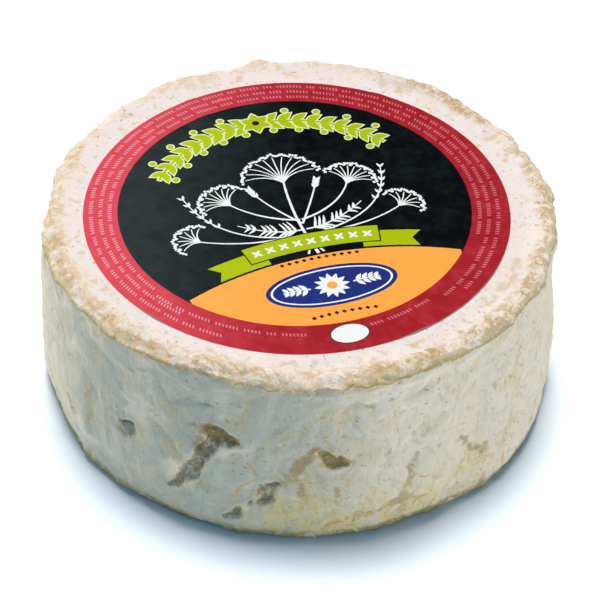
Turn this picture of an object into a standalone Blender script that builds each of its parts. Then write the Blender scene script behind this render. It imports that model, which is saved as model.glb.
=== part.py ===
"""A drum-shaped wheel of soft-ripened goat cheese with a round paper label on its top.

It is two pieces: the uncut cheese, one solid whose rind is uneven relief, and the thin
paper label, which lies over the top a hair clear of it.

Metres, +Z up. The origin is the centre of the flat base that the wheel rests on. Azimuths
are in degrees, counter-clockwise from +X as seen from above, so -90 faces the front.
"""
import math

import bpy
from mathutils import Vector, noise

MM = 0.001

# The wheel's driving sizes: the flat top, the rim with its rounded shoulder and the low
# ridge inside it, the side from its waist under the rim's lip down to its belly, and the
# rounded edge of the base.
TOP_HEIGHT = 66.4 * MM
RIM_RADIUS = 84.2 * MM
SHOULDER_RADIUS = 4.5 * MM
RIDGE_RADIUS = 79.5 * MM
RIDGE_RISE = 0.8 * MM
RIDGE_HALF_WIDTH = 6.0 * MM
LIP_HEIGHT = 61.0 * MM
LIP_STEP = 0.7 * MM
LIP_FADE = 9.0 * MM
WAIST_RADIUS = 84.3 * MM
BELLY_RADIUS = 86.8 * MM
BELLY_HEIGHT = 17.0 * MM
FOOT_TUCK = 0.9 * MM
BASE_EDGE_RADIUS = 4.5 * MM

# How finely the wheel is turned: steps round it, and rings on the top, the shoulder, the
# side, the base's edge and the base.
WHEEL_STEPS = 132
TOP_RINGS = (22.0 * MM, 42.0 * MM, 59.0 * MM, 70.0 * MM, 73.0 * MM, 75.5 * MM, 78.0 * MM)
SHOULDER_RINGS = 6
SIDE_BANDS = 15
BASE_EDGE_RINGS = 5
BASE_RINGS = (56.0 * MM, 24.0 * MM)

# The label's driving sizes. The paper lies a little off the wheel's centre.
LABEL_RADIUS = 70.0 * MM
LABEL_THICKNESS = 0.3 * MM
LABEL_CENTRE = Vector((-1.1 * MM, -0.3 * MM, 0.0))
LABEL_GAP = 0.3 * MM
LABEL_STEPS = 96
LABEL_RINGS = 5

# The wheel isn't quite round. Each swelling, or sinking where its reach is less than nothing,
# is an azimuth, a height, a half width in degrees, a half height, and its reach.
SWELLINGS = (
    (135.0, 62.0 * MM, 28.0, 40.0 * MM, 1.4 * MM),
    (159.0, 62.0 * MM, 14.0, 30.0 * MM, 1.0 * MM),
    (95.0, 66.0 * MM, 14.0, 20.0 * MM, 1.6 * MM),
    (44.0, 62.0 * MM, 13.0, 30.0 * MM, -1.5 * MM),
    (178.0, 62.0 * MM, 13.0, 14.0 * MM, -1.2 * MM),
    (-172.0, 49.0 * MM, 24.0, 14.0 * MM, 0.7 * MM),
    (-3.0, 50.0 * MM, 18.0, 16.0 * MM, -1.6 * MM),
    (-12.0, 62.0 * MM, 11.0, 14.0 * MM, -1.0 * MM),
    (-38.0, 3.0 * MM, 20.0, 24.0 * MM, 1.3 * MM),
    (-62.0, 3.0 * MM, 12.0, 16.0 * MM, -0.9 * MM),
    (-118.0, 4.0 * MM, 20.0, 20.0 * MM, -0.6 * MM),
    (-154.0, 4.0 * MM, 18.0, 26.0 * MM, -1.3 * MM),
    (70.0, 20.0 * MM, 24.0, 30.0 * MM, 0.8 * MM),
)

# Torn patches, pits and hollows in the side: azimuth, height, half width, half height, the
# lean of the patch in degrees from upright, and depth.
HOLLOWS = (
    (-105.0, 43.0 * MM, 9.0 * MM, 4.5 * MM, 10.0, 1.2 * MM),
    (-111.0, 30.0 * MM, 5.0 * MM, 10.0 * MM, -22.0, 1.4 * MM),
    (-116.0, 19.0 * MM, 7.0 * MM, 4.0 * MM, -10.0, 1.0 * MM),
    (-127.8, 30.5 * MM, 4.0 * MM, 3.5 * MM, 0.0, 1.5 * MM),
    (-84.0, 33.0 * MM, 8.0 * MM, 5.5 * MM, -30.0, 1.3 * MM),
    (-97.0, 20.0 * MM, 7.0 * MM, 5.0 * MM, -25.0, 1.3 * MM),
    (-103.0, 12.5 * MM, 6.0 * MM, 3.5 * MM, -15.0, 1.0 * MM),
    (-47.0, 36.0 * MM, 4.5 * MM, 13.0 * MM, 3.0, 0.9 * MM),
    (-138.5, 26.0 * MM, 4.5 * MM, 15.0 * MM, 6.0, 0.9 * MM),
    (20.0, 25.0 * MM, 6.0 * MM, 9.0 * MM, -20.0, 1.0 * MM),
    (62.0, 34.0 * MM, 7.0 * MM, 10.0 * MM, 25.0, 1.1 * MM),
    (118.0, 22.0 * MM, 9.0 * MM, 5.0 * MM, -15.0, 1.2 * MM),
    (158.0, 40.0 * MM, 5.0 * MM, 4.5 * MM, 0.0, 1.2 * MM),
)
HOLLOW_FLOOR = 0.35
HOLLOW_BRIM = 1.25

# How far the rind wanders, and over what distance: slow swells and upright folds on the
# side, crumbling on the rim, the wander of the lip's height, and gentle waves of the top.
SWELL_REACH = 0.9 * MM
SWELL_SIZE = 40.0 * MM
FOLD_REACH = 0.7 * MM
FOLD_SIZE = 15.0 * MM
FOLD_STRETCH = 3.5
CRUMBLE_REACH = 1.0 * MM
CRUMBLE_SIZE = 17.0 * MM
CRUMB_REACH = 0.6 * MM
CRUMB_SIZE = 7.0 * MM
LIP_WANDER = 1.8 * MM
TOP_WAVE_REACH = 0.35 * MM
TOP_WAVE_SIZE = 60.0 * MM
SEED = Vector((3.7, 11.2, 5.9))
FOLD_SEED = SEED + Vector((0.0, 0.0, 40.0))
CRUMBLE_SEED = SEED + Vector((0.0, 0.0, 60.0))
CRUMB_SEED = SEED + Vector((0.0, 0.0, 80.0))
LIP_SEED = SEED + Vector((0.0, 0.0, 100.0))
TOP_WAVE_SEED = SEED + Vector((0.0, 0.0, 20.0))

# Where each kind of relief fades in, as a distance from the axis or a height.
RIM_STARTS = (72.0 * MM, 77.0 * MM)
RIM_FOOT = (52.0 * MM, 60.0 * MM)
SIDE_STARTS = (78.0 * MM, 82.0 * MM)
SIDE_FOOT = (2.0 * MM, 9.0 * MM)
ROUNDNESS_STARTS = (60.0 * MM, 80.0 * MM)
LIP_BELOW = (40.0 * MM, 58.0 * MM)
LIP_ABOVE = (61.0 * MM, 65.5 * MM)

SHARP_EDGE_ANGLE = math.radians(50.0)


def blend(value, low, high):
    """Rises smoothly from 0 at low to 1 at high."""
    share = min(max((value - low) / (high - low), 0.0), 1.0)
    return share * share * (3.0 - 2.0 * share)


def arc(centre_x, centre_z, radius, start, end, count):
    """Points along an arc from start to end, in degrees."""
    points = []
    for step in range(count):
        angle = math.radians(start + (end - start) * step / (count - 1))
        points.append((centre_x + radius * math.cos(angle), centre_z + radius * math.sin(angle)))
    return points


def ridge(radius):
    """The rise of the low ridge just inside the rim, at a distance from the axis."""
    offset = abs(radius - RIDGE_RADIUS)
    return RIDGE_RISE * (1.0 - blend(offset, 0.0, RIDGE_HALF_WIDTH))


def side_radius(height):
    """The side's distance from the axis: a low belly, drawn in under the rim's lip."""
    if height < BELLY_HEIGHT:
        drop = (BELLY_HEIGHT - height) / BELLY_HEIGHT
        return BELLY_RADIUS - FOOT_TUCK * drop * drop
    return BELLY_RADIUS + (WAIST_RADIUS - BELLY_RADIUS) * blend(height, BELLY_HEIGHT, LIP_HEIGHT)


def wheel_profile():
    """Half of the wheel's section, from the middle of the top down to the middle of the base."""
    shoulder_x = RIM_RADIUS - SHOULDER_RADIUS
    shoulder_z = TOP_HEIGHT - SHOULDER_RADIUS
    points = [(0.0, TOP_HEIGHT)]
    points += [(radius, TOP_HEIGHT + ridge(radius)) for radius in TOP_RINGS]
    for x, z in arc(shoulder_x, shoulder_z, SHOULDER_RADIUS, 84.0, -12.0, SHOULDER_RINGS):
        points.append((x, z + ridge(x)))

    side_top = LIP_HEIGHT - 2.0 * MM
    side_bottom = BASE_EDGE_RADIUS + 1.5 * MM
    for band in range(SIDE_BANDS + 1):
        height = side_top + (side_bottom - side_top) * band / SIDE_BANDS
        tuck = LIP_STEP * (1.0 - blend(side_top - height, 0.0, LIP_FADE))
        points.append((side_radius(height) - tuck, height))

    foot_x = side_radius(BASE_EDGE_RADIUS) - BASE_EDGE_RADIUS
    points += arc(foot_x, BASE_EDGE_RADIUS, BASE_EDGE_RADIUS, 0.0, -90.0, BASE_EDGE_RINGS)
    points += [(radius, 0.0) for radius in BASE_RINGS]
    points.append((0.0, 0.0))
    return points


def turned(name, points, steps):
    """A mesh turned about the upright axis from a half section."""
    outline = bpy.data.meshes.new(name + "_outline")
    edges = [(index, index + 1) for index in range(len(points) - 1)]
    outline.from_pydata([(x, 0.0, z) for x, z in points], edges, [])
    turning = bpy.data.objects.new(name + "_turning", outline)
    bpy.context.scene.collection.objects.link(turning)
    screw = turning.modifiers.new("Turn", "SCREW")
    screw.axis = "Z"
    screw.steps = steps
    screw.render_steps = steps
    screw.use_merge_vertices = True
    screw.merge_threshold = 0.01 * MM
    graph = bpy.context.evaluated_depsgraph_get()
    mesh = bpy.data.meshes.new_from_object(turning.evaluated_get(graph))
    mesh.name = name
    bpy.data.objects.remove(turning)
    bpy.data.meshes.remove(outline)
    return mesh


def wander(point, size, seed):
    """Smooth noise between about -1 and 1 that changes over the given distance."""
    return noise.noise(point / size + seed)


def top_wave(x, y):
    """The gentle rise and fall of the top, which the label follows."""
    return TOP_WAVE_REACH * wander(Vector((x, y, 0.0)), TOP_WAVE_SIZE, TOP_WAVE_SEED)


def degrees_apart(azimuth, centre):
    """The turn from a centre, in degrees, to an azimuth in radians, between -180 and 180."""
    return (math.degrees(azimuth) - centre + 180.0) % 360.0 - 180.0


def out_of_round(azimuth, height):
    """How far the wheel stands out from a true round at a place on its side."""
    reach = 0.0
    for centre, middle, half_width, half_height, full_reach in SWELLINGS:
        across = degrees_apart(azimuth, centre) / half_width
        up = (height - middle) / half_height
        reach += full_reach * (1.0 - blend(math.hypot(across, up), 0.0, 1.0))
    return reach


def hollow_depth(azimuth, height):
    """The depth of the torn patches, pits and hollows at a place on the side."""
    depth = 0.0
    for centre, middle, half_width, half_height, lean, full_depth in HOLLOWS:
        across = math.radians(degrees_apart(azimuth, centre)) * BELLY_RADIUS
        up = height - middle
        lean_angle = math.radians(lean)
        along = up * math.cos(lean_angle) - across * math.sin(lean_angle)
        beside = across * math.cos(lean_angle) + up * math.sin(lean_angle)
        distance = math.hypot(beside / half_width, along / half_height)
        depth += full_depth * (1.0 - blend(distance, HOLLOW_FLOOR, HOLLOW_BRIM))
    return depth


def lip_shift(point):
    """How far the rim's lip wanders up or down, fading out to the top and the lower side."""
    around = Vector((point.x, point.y, 0.0))
    near_lip = blend(point.z, *LIP_BELOW) * (1.0 - blend(point.z, *LIP_ABOVE))
    return LIP_WANDER * wander(around, CRUMBLE_SIZE, LIP_SEED) * near_lip


def relief(point, azimuth):
    """How far the rind stands out along its own normal."""
    radius = math.hypot(point.x, point.y)
    swell = SWELL_REACH * wander(point, SWELL_SIZE, SEED)
    fold_point = Vector((point.x, point.y, point.z / FOLD_STRETCH))
    fold = FOLD_REACH * wander(fold_point, FOLD_SIZE, FOLD_SEED)
    crumble = CRUMBLE_REACH * wander(point, CRUMBLE_SIZE, CRUMBLE_SEED)
    crumble += CRUMB_REACH * wander(point, CRUMB_SIZE, CRUMB_SEED)
    on_rim = blend(radius, *RIM_STARTS) * blend(point.z, *RIM_FOOT)
    on_side = blend(radius, *SIDE_STARTS) * blend(point.z, *SIDE_FOOT)
    return (swell + fold - hollow_depth(azimuth, point.z)) * on_side + crumble * on_rim


def shape_rind(mesh):
    """Moves a turned wheel's points out to the uneven rind. The base stays flat."""
    normals = [vertex.normal.copy() for vertex in mesh.vertices]
    for vertex, normal in zip(mesh.vertices, normals):
        point = vertex.co.copy()
        radius = math.hypot(point.x, point.y)
        azimuth = math.atan2(point.y, point.x)
        shifted = point + normal * relief(point, azimuth)
        if radius > 0.0:
            outward = Vector((point.x, point.y, 0.0)) / radius
            shifted += outward * out_of_round(azimuth, point.z) * blend(radius, *ROUNDNESS_STARTS)
        if point.z > LIP_HEIGHT:
            shifted.z += top_wave(point.x, point.y)
        shifted.z += lip_shift(point)
        vertex.co = shifted


def label_profile():
    """Half of the label's section: its printed face, its edge and its back."""
    rings = [LABEL_RADIUS * ring / LABEL_RINGS for ring in range(LABEL_RINGS + 1)]
    back = TOP_HEIGHT + LABEL_GAP
    face = back + LABEL_THICKNESS
    points = [(radius, face) for radius in rings]
    points += [(radius, back) for radius in reversed(rings)]
    return points


def drape_label(mesh):
    """Lays a turned label on the cheese, off its centre, over the waves of the top."""
    for vertex in mesh.vertices:
        x = vertex.co.x + LABEL_CENTRE.x
        y = vertex.co.y + LABEL_CENTRE.y
        vertex.co = (x, y, vertex.co.z + top_wave(x, y))


def material(name, colour, roughness):
    """A Principled material of one colour."""
    made = bpy.data.materials.new(name)
    made.use_nodes = True
    shader = made.node_tree.nodes["Principled BSDF"]
    shader.inputs["Base Color"].default_value = (*colour, 1.0)
    shader.inputs["Roughness"].default_value = roughness
    shader.inputs["Metallic"].default_value = 0.0
    return made


def add_piece(collection, name, mesh, finish):
    """Puts a finished mesh in the collection as a named, smooth piece."""
    mesh.materials.append(finish)
    mesh.shade_smooth()
    mesh.set_sharp_from_angle(angle=SHARP_EDGE_ANGLE)
    collection.objects.link(bpy.data.objects.new(name, mesh))


def main():
    for old in list(bpy.data.objects):
        bpy.data.objects.remove(old)
    collection = bpy.data.collections.new("Goat cheese wheel")
    bpy.context.scene.collection.children.link(collection)

    wheel = turned("cheese_wheel", wheel_profile(), WHEEL_STEPS)
    shape_rind(wheel)
    bloomy_rind = material("Bloomy rind", (0.76, 0.72, 0.63), 0.75)
    add_piece(collection, "cheese_wheel", wheel, bloomy_rind)

    label = turned("paper_label", label_profile(), LABEL_STEPS)
    drape_label(label)
    label_paper = material("Coated label paper", (0.40, 0.02, 0.03), 0.4)
    add_piece(collection, "paper_label", label, label_paper)


main()
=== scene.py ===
# %% [markdown]
# # A wheel of soft-ripened goat cheese
#
# The object is a drum of goat cheese about 17 cm across. A bloomy rind of white mould has
# dried on it: smooth and grey-green down the side, crumbly and golden round the rim, torn
# here and there. A round printed paper label lies on the top. The lesson turns the drum,
# roughens it in layers from large to small, and then prints the label shape by shape.
#
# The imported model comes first, because every piece is placed by it.

# %% Load the frame
import math

import bpy
import numpy as np
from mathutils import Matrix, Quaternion, Vector, noise
from mathutils.geometry import delaunay_2d_cdt


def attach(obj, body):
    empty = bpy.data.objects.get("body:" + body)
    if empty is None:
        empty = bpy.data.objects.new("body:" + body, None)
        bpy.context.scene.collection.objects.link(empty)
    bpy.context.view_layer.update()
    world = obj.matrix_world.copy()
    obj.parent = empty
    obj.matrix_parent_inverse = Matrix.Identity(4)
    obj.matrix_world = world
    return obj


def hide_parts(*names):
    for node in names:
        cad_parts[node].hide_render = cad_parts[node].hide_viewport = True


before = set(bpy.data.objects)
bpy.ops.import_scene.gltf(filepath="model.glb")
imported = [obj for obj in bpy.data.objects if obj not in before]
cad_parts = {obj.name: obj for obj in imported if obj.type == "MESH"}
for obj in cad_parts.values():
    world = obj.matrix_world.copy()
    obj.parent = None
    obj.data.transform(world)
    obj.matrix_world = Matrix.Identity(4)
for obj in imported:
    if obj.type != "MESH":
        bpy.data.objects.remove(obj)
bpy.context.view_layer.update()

# %% [markdown]
# ## Helpers
#
# Blender's shaders work in linear light, while colours read from a screen are sRGB, so one
# function turns hex values to linear. Another adds a shader node with its settings and
# links. The third starts a Principled material, whose uniform values stay on its own
# sockets, where an exporter can read them. The last puts an object into the scene.

# %% Units, colours, nodes and objects
MM = 0.001


def linear(hex_colour):
    """An sRGB hex colour as linear red, green, blue and alpha."""
    channels = [int(hex_colour[start:start + 2], 16) / 255 for start in (1, 3, 5)]
    light = [c / 12.92 if c <= 0.04045 else ((c + 0.055) / 1.055) ** 2.4 for c in channels]
    return (*light, 1.0)


def add_node(tree, kind, inputs=None, **settings):
    """Adds one node with its settings, and sets or links its inputs by name or number."""
    node = tree.nodes.new(kind)
    for name, value in settings.items():
        setattr(node, name, value)
    for socket, value in (inputs or {}).items():
        if isinstance(value, bpy.types.NodeSocket):
            tree.links.new(value, node.inputs[socket])
        else:
            node.inputs[socket].default_value = value
    return node


def new_material(name, **values):
    """A Principled material with uniform values on its sockets, its node tree and its shader."""
    material = bpy.data.materials.new(name)
    material.use_nodes = True
    shader = material.node_tree.nodes["Principled BSDF"]
    for socket, value in values.items():
        shader.inputs[socket.replace("_", " ")].default_value = value
    return material, material.node_tree, shader


def new_object(name, data):
    """An object with this data, linked to the scene."""
    thing = bpy.data.objects.new(name, data)
    bpy.context.scene.collection.objects.link(thing)
    return thing


print("mid grey #808080 in linear light:", round(linear("#808080")[0], 3))

# %% [markdown]
# ## The camera
#
# A pinhole camera was fitted to the label's oval outline and the drum's silhouette. It
# stands about 0.7 m off with a long lens, looks down at about 42 degrees, and leans a degree
# to the side. Aiming a little below the middle of the wheel puts the wheel in its place in
# the frame, without any lens shift.

# %% Place the camera
CAMERA_PLACE = Vector((0.0, -510.1 * MM, 481.3 * MM))
CAMERA_AIM = Vector((0.5 * MM, -3.4 * MM, 29.3 * MM))
CAMERA_LEAN = math.radians(1.15)
CAMERA_LENS = 120.0
SENSOR_WIDTH = 36.0
NEAREST_SEEN = 0.01
FARTHEST_SEEN = 50.0

camera = new_object("camera", bpy.data.cameras.new("camera"))
camera.data.lens = CAMERA_LENS
camera.data.sensor_width = SENSOR_WIDTH
camera.data.clip_start = NEAREST_SEEN
camera.data.clip_end = FARTHEST_SEEN
camera.location = CAMERA_PLACE
camera.rotation_mode = "QUATERNION"
aim = (CAMERA_AIM - CAMERA_PLACE).to_track_quat("-Z", "Y")
camera.rotation_quaternion = aim @ Quaternion((0.0, 0.0, 1.0), CAMERA_LEAN)
bpy.context.scene.camera = camera
print("camera to wheel in mm:", round((CAMERA_AIM - CAMERA_PLACE).length * 1000))

# %% [markdown]
# ## Softboxes
#
# The photo is a catalogue picture on white. The main light comes from above and a little
# behind, so the top is bright and the front stays in soft, cool shade. A warmer softbox at
# each side stands so low that it lights the flanks and hardly touches the floor. A sun lamp
# with a wide angle does for each of them, as it lights the whole floor alike. All three are
# flagged off from the varnish, as their reflection would bleach the print.

# %% Three far softboxes
# Each softbox is an azimuth, an elevation, its power, its apparent width and its colour.
SOFTBOXES = {
    "overhead_softbox": (101.0, 78.5, 3.5, 21.0, "#FFFCFA"),
    "right_softbox": (-22.0, 4.0, 0.92, 7.0, "#FFF4E2"),
    "left_softbox": (152.0, 4.0, 1.1, 7.0, "#FFF8EA"),
}


def far_softbox(name, azimuth, elevation, power, width, colour):
    """A soft light so far off that it lights the whole floor evenly; angles in degrees."""
    light = bpy.data.lights.new(name, "SUN")
    light.energy = power
    light.angle = math.radians(width)
    light.color = linear(colour)[:3]
    lamp = new_object(name, light)
    lamp.visible_glossy = False
    turn, rise = math.radians(azimuth), math.radians(elevation)
    towards = Vector((math.cos(turn) * math.cos(rise), math.sin(turn) * math.cos(rise), math.sin(rise)))
    lamp.rotation_mode = "QUATERNION"
    lamp.rotation_quaternion = towards.to_track_quat("Z", "Y")


for name, settings in SOFTBOXES.items():
    far_softbox(name, *settings)
print("far softboxes:", ", ".join(SOFTBOXES))

# %% [markdown]
# A varnished label needs something to reflect. A small lamp behind on the left puts a sheen
# on it, and its diffuse light is off, so that it changes hardly anything else.

# %% A lamp for the sheen
SHEEN_PLACE = Vector((-340.0 * MM, 400.0 * MM, 400.0 * MM))
SHEEN_AIM = Vector((-60.0 * MM, 0.0, 67.0 * MM))
SHEEN_SIZE = 220.0 * MM
SHEEN_POWER = 1.5

sheen_light = bpy.data.lights.new("sheen_softbox", "AREA")
sheen_light.shape = "SQUARE"
sheen_light.size = SHEEN_SIZE
sheen_light.energy = SHEEN_POWER
sheen = new_object("sheen_softbox", sheen_light)
sheen.location = SHEEN_PLACE
sheen.visible_diffuse = False
sheen.rotation_mode = "QUATERNION"
sheen.rotation_quaternion = (SHEEN_PLACE - SHEEN_AIM).to_track_quat("Z", "Y")
print("sheen lamp to label in mm:", round((SHEEN_PLACE - SHEEN_AIM).length * 1000))

# %% [markdown]
# ## The studio round the wheel
#
# The world is bright and bluish on the camera's side and dark behind the wheel, which keeps
# the label's black deep and cools the shadows. The camera itself looks past the wheel at a
# white backdrop, which a Light Path node picks for its rays alone.

# %% World
FRONT_GLOW = 0.365
BACK_GLOW = 0.04
# The glow fades from the first to the second value of a direction's northward share.
GLOW_FADE = (-0.3, 0.5)

world = bpy.data.worlds.new("studio_white")
world.use_nodes = True
world_tree = world.node_tree
looking = add_node(world_tree, "ShaderNodeTexCoord").outputs["Generated"]
front_to_back = add_node(world_tree, "ShaderNodeSeparateXYZ", {0: looking}).outputs["Y"]
glow = add_node(world_tree, "ShaderNodeMapRange",
                {0: front_to_back, 1: GLOW_FADE[0], 2: GLOW_FADE[1], 3: FRONT_GLOW, 4: BACK_GLOW})
studio = world_tree.nodes["Background"]
studio.inputs["Color"].default_value = linear("#9CD8FF")
world_tree.links.new(glow.outputs[0], studio.inputs["Strength"])
backdrop = add_node(world_tree, "ShaderNodeBackground", {"Color": linear("#FFFFFF"), "Strength": 1.0})
seen = add_node(world_tree, "ShaderNodeLightPath").outputs["Is Camera Ray"]
both = add_node(world_tree, "ShaderNodeMixShader",
                {0: seen, 1: studio.outputs[0], 2: backdrop.outputs[0]})
world_tree.links.new(both.outputs[0], world_tree.nodes["World Output"].inputs["Surface"])
bpy.context.scene.world = world
bpy.context.scene.view_settings.view_transform = "Standard"
print("glow in front and behind:", FRONT_GLOW, BACK_GLOW)

# %% [markdown]
# The floor is a plain white sweep, so large that its end is never seen. It is a little bluer
# than white, which only shows in the shadow, since the rest of it is as bright as the picture
# can be.

# %% Floor
FLOOR_SIDE = 60.0

floor_mesh = bpy.data.meshes.new("floor")
half = FLOOR_SIDE / 2
floor_mesh.from_pydata([(-half, -half, 0), (half, -half, 0), (half, half, 0), (-half, half, 0)],
                       [], [(0, 1, 2, 3)])
floor = new_object("floor", floor_mesh)
floor_paint, _, floor_shader = new_material("matt_white_sweep", Roughness=0.9)
floor_shader.inputs["Base Color"].default_value = linear("#F2F8FF")
floor_mesh.materials.append(floor_paint)
print("floor side in m:", FLOOR_SIDE)

# %% [markdown]
# ## The turned form
#
# A cheese like this is moulded in a tube, so its body is a solid of revolution: a flat top,
# a rounded rim with a low ridge inside it, a side that is drawn in under the rim's lip and
# swells to a belly near the foot. The driving sizes are the solid model's, but for the step
# under the lip, which is mostly the crust's own thickness here. The section is sampled more
# closely, and its rings lie closest on the rim, where the smallest crumbs are.

# %% Driving sizes
TOP_HEIGHT = 66.4 * MM
RIM_RADIUS = 84.2 * MM
SHOULDER_RADIUS = 4.5 * MM
RIDGE_RADIUS = 79.5 * MM
RIDGE_RISE = 0.8 * MM
RIDGE_HALF_WIDTH = 6.0 * MM
LIP_HEIGHT = 61.0 * MM
LIP_STEP = 0.2 * MM
LIP_FADE = 9.0 * MM
WAIST_RADIUS = 84.3 * MM
BELLY_RADIUS = 86.8 * MM
BELLY_HEIGHT = 17.0 * MM
FOOT_TUCK = 0.9 * MM
BASE_EDGE_RADIUS = 4.5 * MM
print("belly across in mm:", round(2000 * BELLY_RADIUS, 1))

# %% The section
WHEEL_STEPS = 720
SHOULDER_RINGS = 23
LIP_BANDS = 18
SIDE_BANDS = 64
FOOT_RINGS = 9
# The closely ringed band under the lip starts and ends this far below the lip's height.
LIP_BAND_START = 0.5 * MM
LIP_BAND_END = 7.5 * MM


def blend(value, low, high):
    """Rises smoothly from 0 at low to 1 at high, for numbers and for arrays."""
    share = np.clip((value - low) / (high - low), 0.0, 1.0)
    return share * share * (3.0 - 2.0 * share)


def ridge(radius):
    """The rise of the low ridge just inside the rim, at a distance from the axis."""
    return RIDGE_RISE * (1.0 - blend(np.abs(radius - RIDGE_RADIUS), 0.0, RIDGE_HALF_WIDTH))


def side_radius(height):
    """The side's distance from the axis at a height."""
    drop = np.clip((BELLY_HEIGHT - height) / BELLY_HEIGHT, 0.0, 1.0)
    drawn_in = (WAIST_RADIUS - BELLY_RADIUS) * blend(height, BELLY_HEIGHT, LIP_HEIGHT)
    return BELLY_RADIUS - FOOT_TUCK * drop * drop + drawn_in


def wheel_section():
    """Half of the wheel's section as (radius, height), from the top's middle to the base's."""
    top = np.array([0.0, 20, 40, 58, 67, *np.arange(70.0, 79.9, 0.62)]) * MM
    shoulder = np.radians(np.linspace(84.0, -12.0, SHOULDER_RINGS))
    shoulder_x = RIM_RADIUS - SHOULDER_RADIUS + SHOULDER_RADIUS * np.cos(shoulder)
    shoulder_z = TOP_HEIGHT - SHOULDER_RADIUS + SHOULDER_RADIUS * np.sin(shoulder)
    lip_end = LIP_HEIGHT - LIP_BAND_END
    lip_z = np.linspace(LIP_HEIGHT - LIP_BAND_START, lip_end, LIP_BANDS, endpoint=False)
    low_z = np.linspace(lip_end, BASE_EDGE_RADIUS + 0.7 * MM, SIDE_BANDS)
    side_z = np.concatenate([lip_z, low_z])
    tuck = LIP_STEP * (1.0 - blend(side_z[0] - side_z, 0.0, LIP_FADE))
    foot = np.radians(np.linspace(0.0, -90.0, FOOT_RINGS))
    foot_x = side_radius(BASE_EDGE_RADIUS) - BASE_EDGE_RADIUS + BASE_EDGE_RADIUS * np.cos(foot)
    foot_z = BASE_EDGE_RADIUS + BASE_EDGE_RADIUS * np.sin(foot)
    base = np.array([72.0, 50, 25, 0]) * MM
    radii = np.concatenate([top, shoulder_x, side_radius(side_z) - tuck, foot_x, base])
    heights = np.concatenate([TOP_HEIGHT + ridge(top), shoulder_z + ridge(shoulder_x),
                              side_z, foot_z, np.zeros(len(base))])
    return np.stack([radii, heights], 1)


section = wheel_section()
print("rings in the section:", len(section))

# %% [markdown]
# ## Points on the drum
#
# The whole rind is worked out on arrays of points: one row for each ring, one column for
# each step round the wheel. Every point knows its azimuth and the direction in which the
# surface faces there. Noise from mathutils is read at each point's place in space, so the
# pattern has no seam.

# %% Spread the section round the axis
steps = np.radians(np.arange(WHEEL_STEPS) * 360.0 / WHEEL_STEPS - 180.0)
tangent = np.gradient(section, axis=0)
facing = np.stack([-tangent[:, 1], tangent[:, 0]], 1)
facing /= np.linalg.norm(facing, axis=1)[:, None]

azimuth = np.tile(steps, (len(section), 1)).ravel()
radius = np.repeat(section[:, 0], WHEEL_STEPS)
height = np.repeat(section[:, 1], WHEEL_STEPS)
outward = np.stack([np.cos(azimuth), np.sin(azimuth), np.zeros(len(azimuth))], 1)
drum = outward * radius[:, None]
drum[:, 2] = height
drum_facing = outward * np.repeat(facing[:, 0], WHEEL_STEPS)[:, None]
drum_facing[:, 2] = np.repeat(facing[:, 1], WHEEL_STEPS)


def wander(points, size, seed):
    """Smooth noise between about -1 and 1 that changes over the given distance."""
    return np.array([noise.noise(place) for place in (points / size + seed).tolist()])


print("points on the drum:", len(drum))

# %% [markdown]
# ## Large unevenness
#
# A hand-turned cheese is never round. The swellings are placed by azimuth and height, from
# the silhouette in the photo. Slow noise adds swells, noise stretched upwards adds the folds
# that run down the side where the cloth or the mould pressed, and the lip wanders up and
# down. These layers are the same as in the solid model.

# %% Where the wheel swells
# Each swelling is an azimuth, a height, half a width in degrees, half a height and its rise.
SWELLINGS = (
    (135.0, 62.0 * MM, 28.0, 40.0 * MM, 1.4 * MM),
    (159.0, 62.0 * MM, 14.0, 30.0 * MM, 1.0 * MM),
    (95.0, 66.0 * MM, 14.0, 20.0 * MM, 1.6 * MM),
    (44.0, 62.0 * MM, 13.0, 30.0 * MM, -1.5 * MM),
    (178.0, 62.0 * MM, 13.0, 14.0 * MM, -1.2 * MM),
    (-172.0, 49.0 * MM, 24.0, 14.0 * MM, 0.7 * MM),
    (-3.0, 50.0 * MM, 18.0, 16.0 * MM, -1.6 * MM),
    (-12.0, 62.0 * MM, 11.0, 14.0 * MM, -1.0 * MM),
    (-38.0, 3.0 * MM, 20.0, 24.0 * MM, 1.3 * MM),
    (-62.0, 3.0 * MM, 12.0, 16.0 * MM, -0.9 * MM),
    (-118.0, 4.0 * MM, 20.0, 20.0 * MM, -0.6 * MM),
    (-154.0, 4.0 * MM, 18.0, 26.0 * MM, -1.3 * MM),
    (70.0, 20.0 * MM, 24.0, 30.0 * MM, 0.8 * MM),
)
print("swellings:", len(SWELLINGS))

# %% Swells, folds and the lip
SWELL_REACH = 0.9 * MM
SWELL_SIZE = 40.0 * MM
FOLD_REACH = 0.7 * MM
FOLD_SIZE = 15.0 * MM
FOLD_STRETCH = 3.5
CRUMBLE_REACH = 1.0 * MM
CRUMBLE_SIZE = 17.0 * MM
CRUMB_REACH = 0.6 * MM
CRUMB_SIZE = 7.0 * MM
LIP_WANDER = 1.8 * MM
TOP_WAVE_REACH = 0.35 * MM
TOP_WAVE_SIZE = 60.0 * MM
# Each layer of noise is read from its own place in space, this far from the wheel and more.
SEED = np.array([3.7, 11.2, 5.9])
UP = np.array([0.0, 0.0, 1.0])


def degrees_apart(angle, centre):
    """The turn from a centre, in degrees, to an azimuth in radians, between -180 and 180."""
    return (np.degrees(angle) - centre + 180.0) % 360.0 - 180.0


def out_of_round(angle, level):
    """How far the wheel stands out from a true round, at azimuths in radians and heights."""
    reach = np.zeros(len(angle))
    for centre, middle, half_width, half_height, full_reach in SWELLINGS:
        across = degrees_apart(angle, centre) / half_width
        up = (level - middle) / half_height
        reach += full_reach * (1.0 - blend(np.hypot(across, up), 0.0, 1.0))
    return reach


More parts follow.
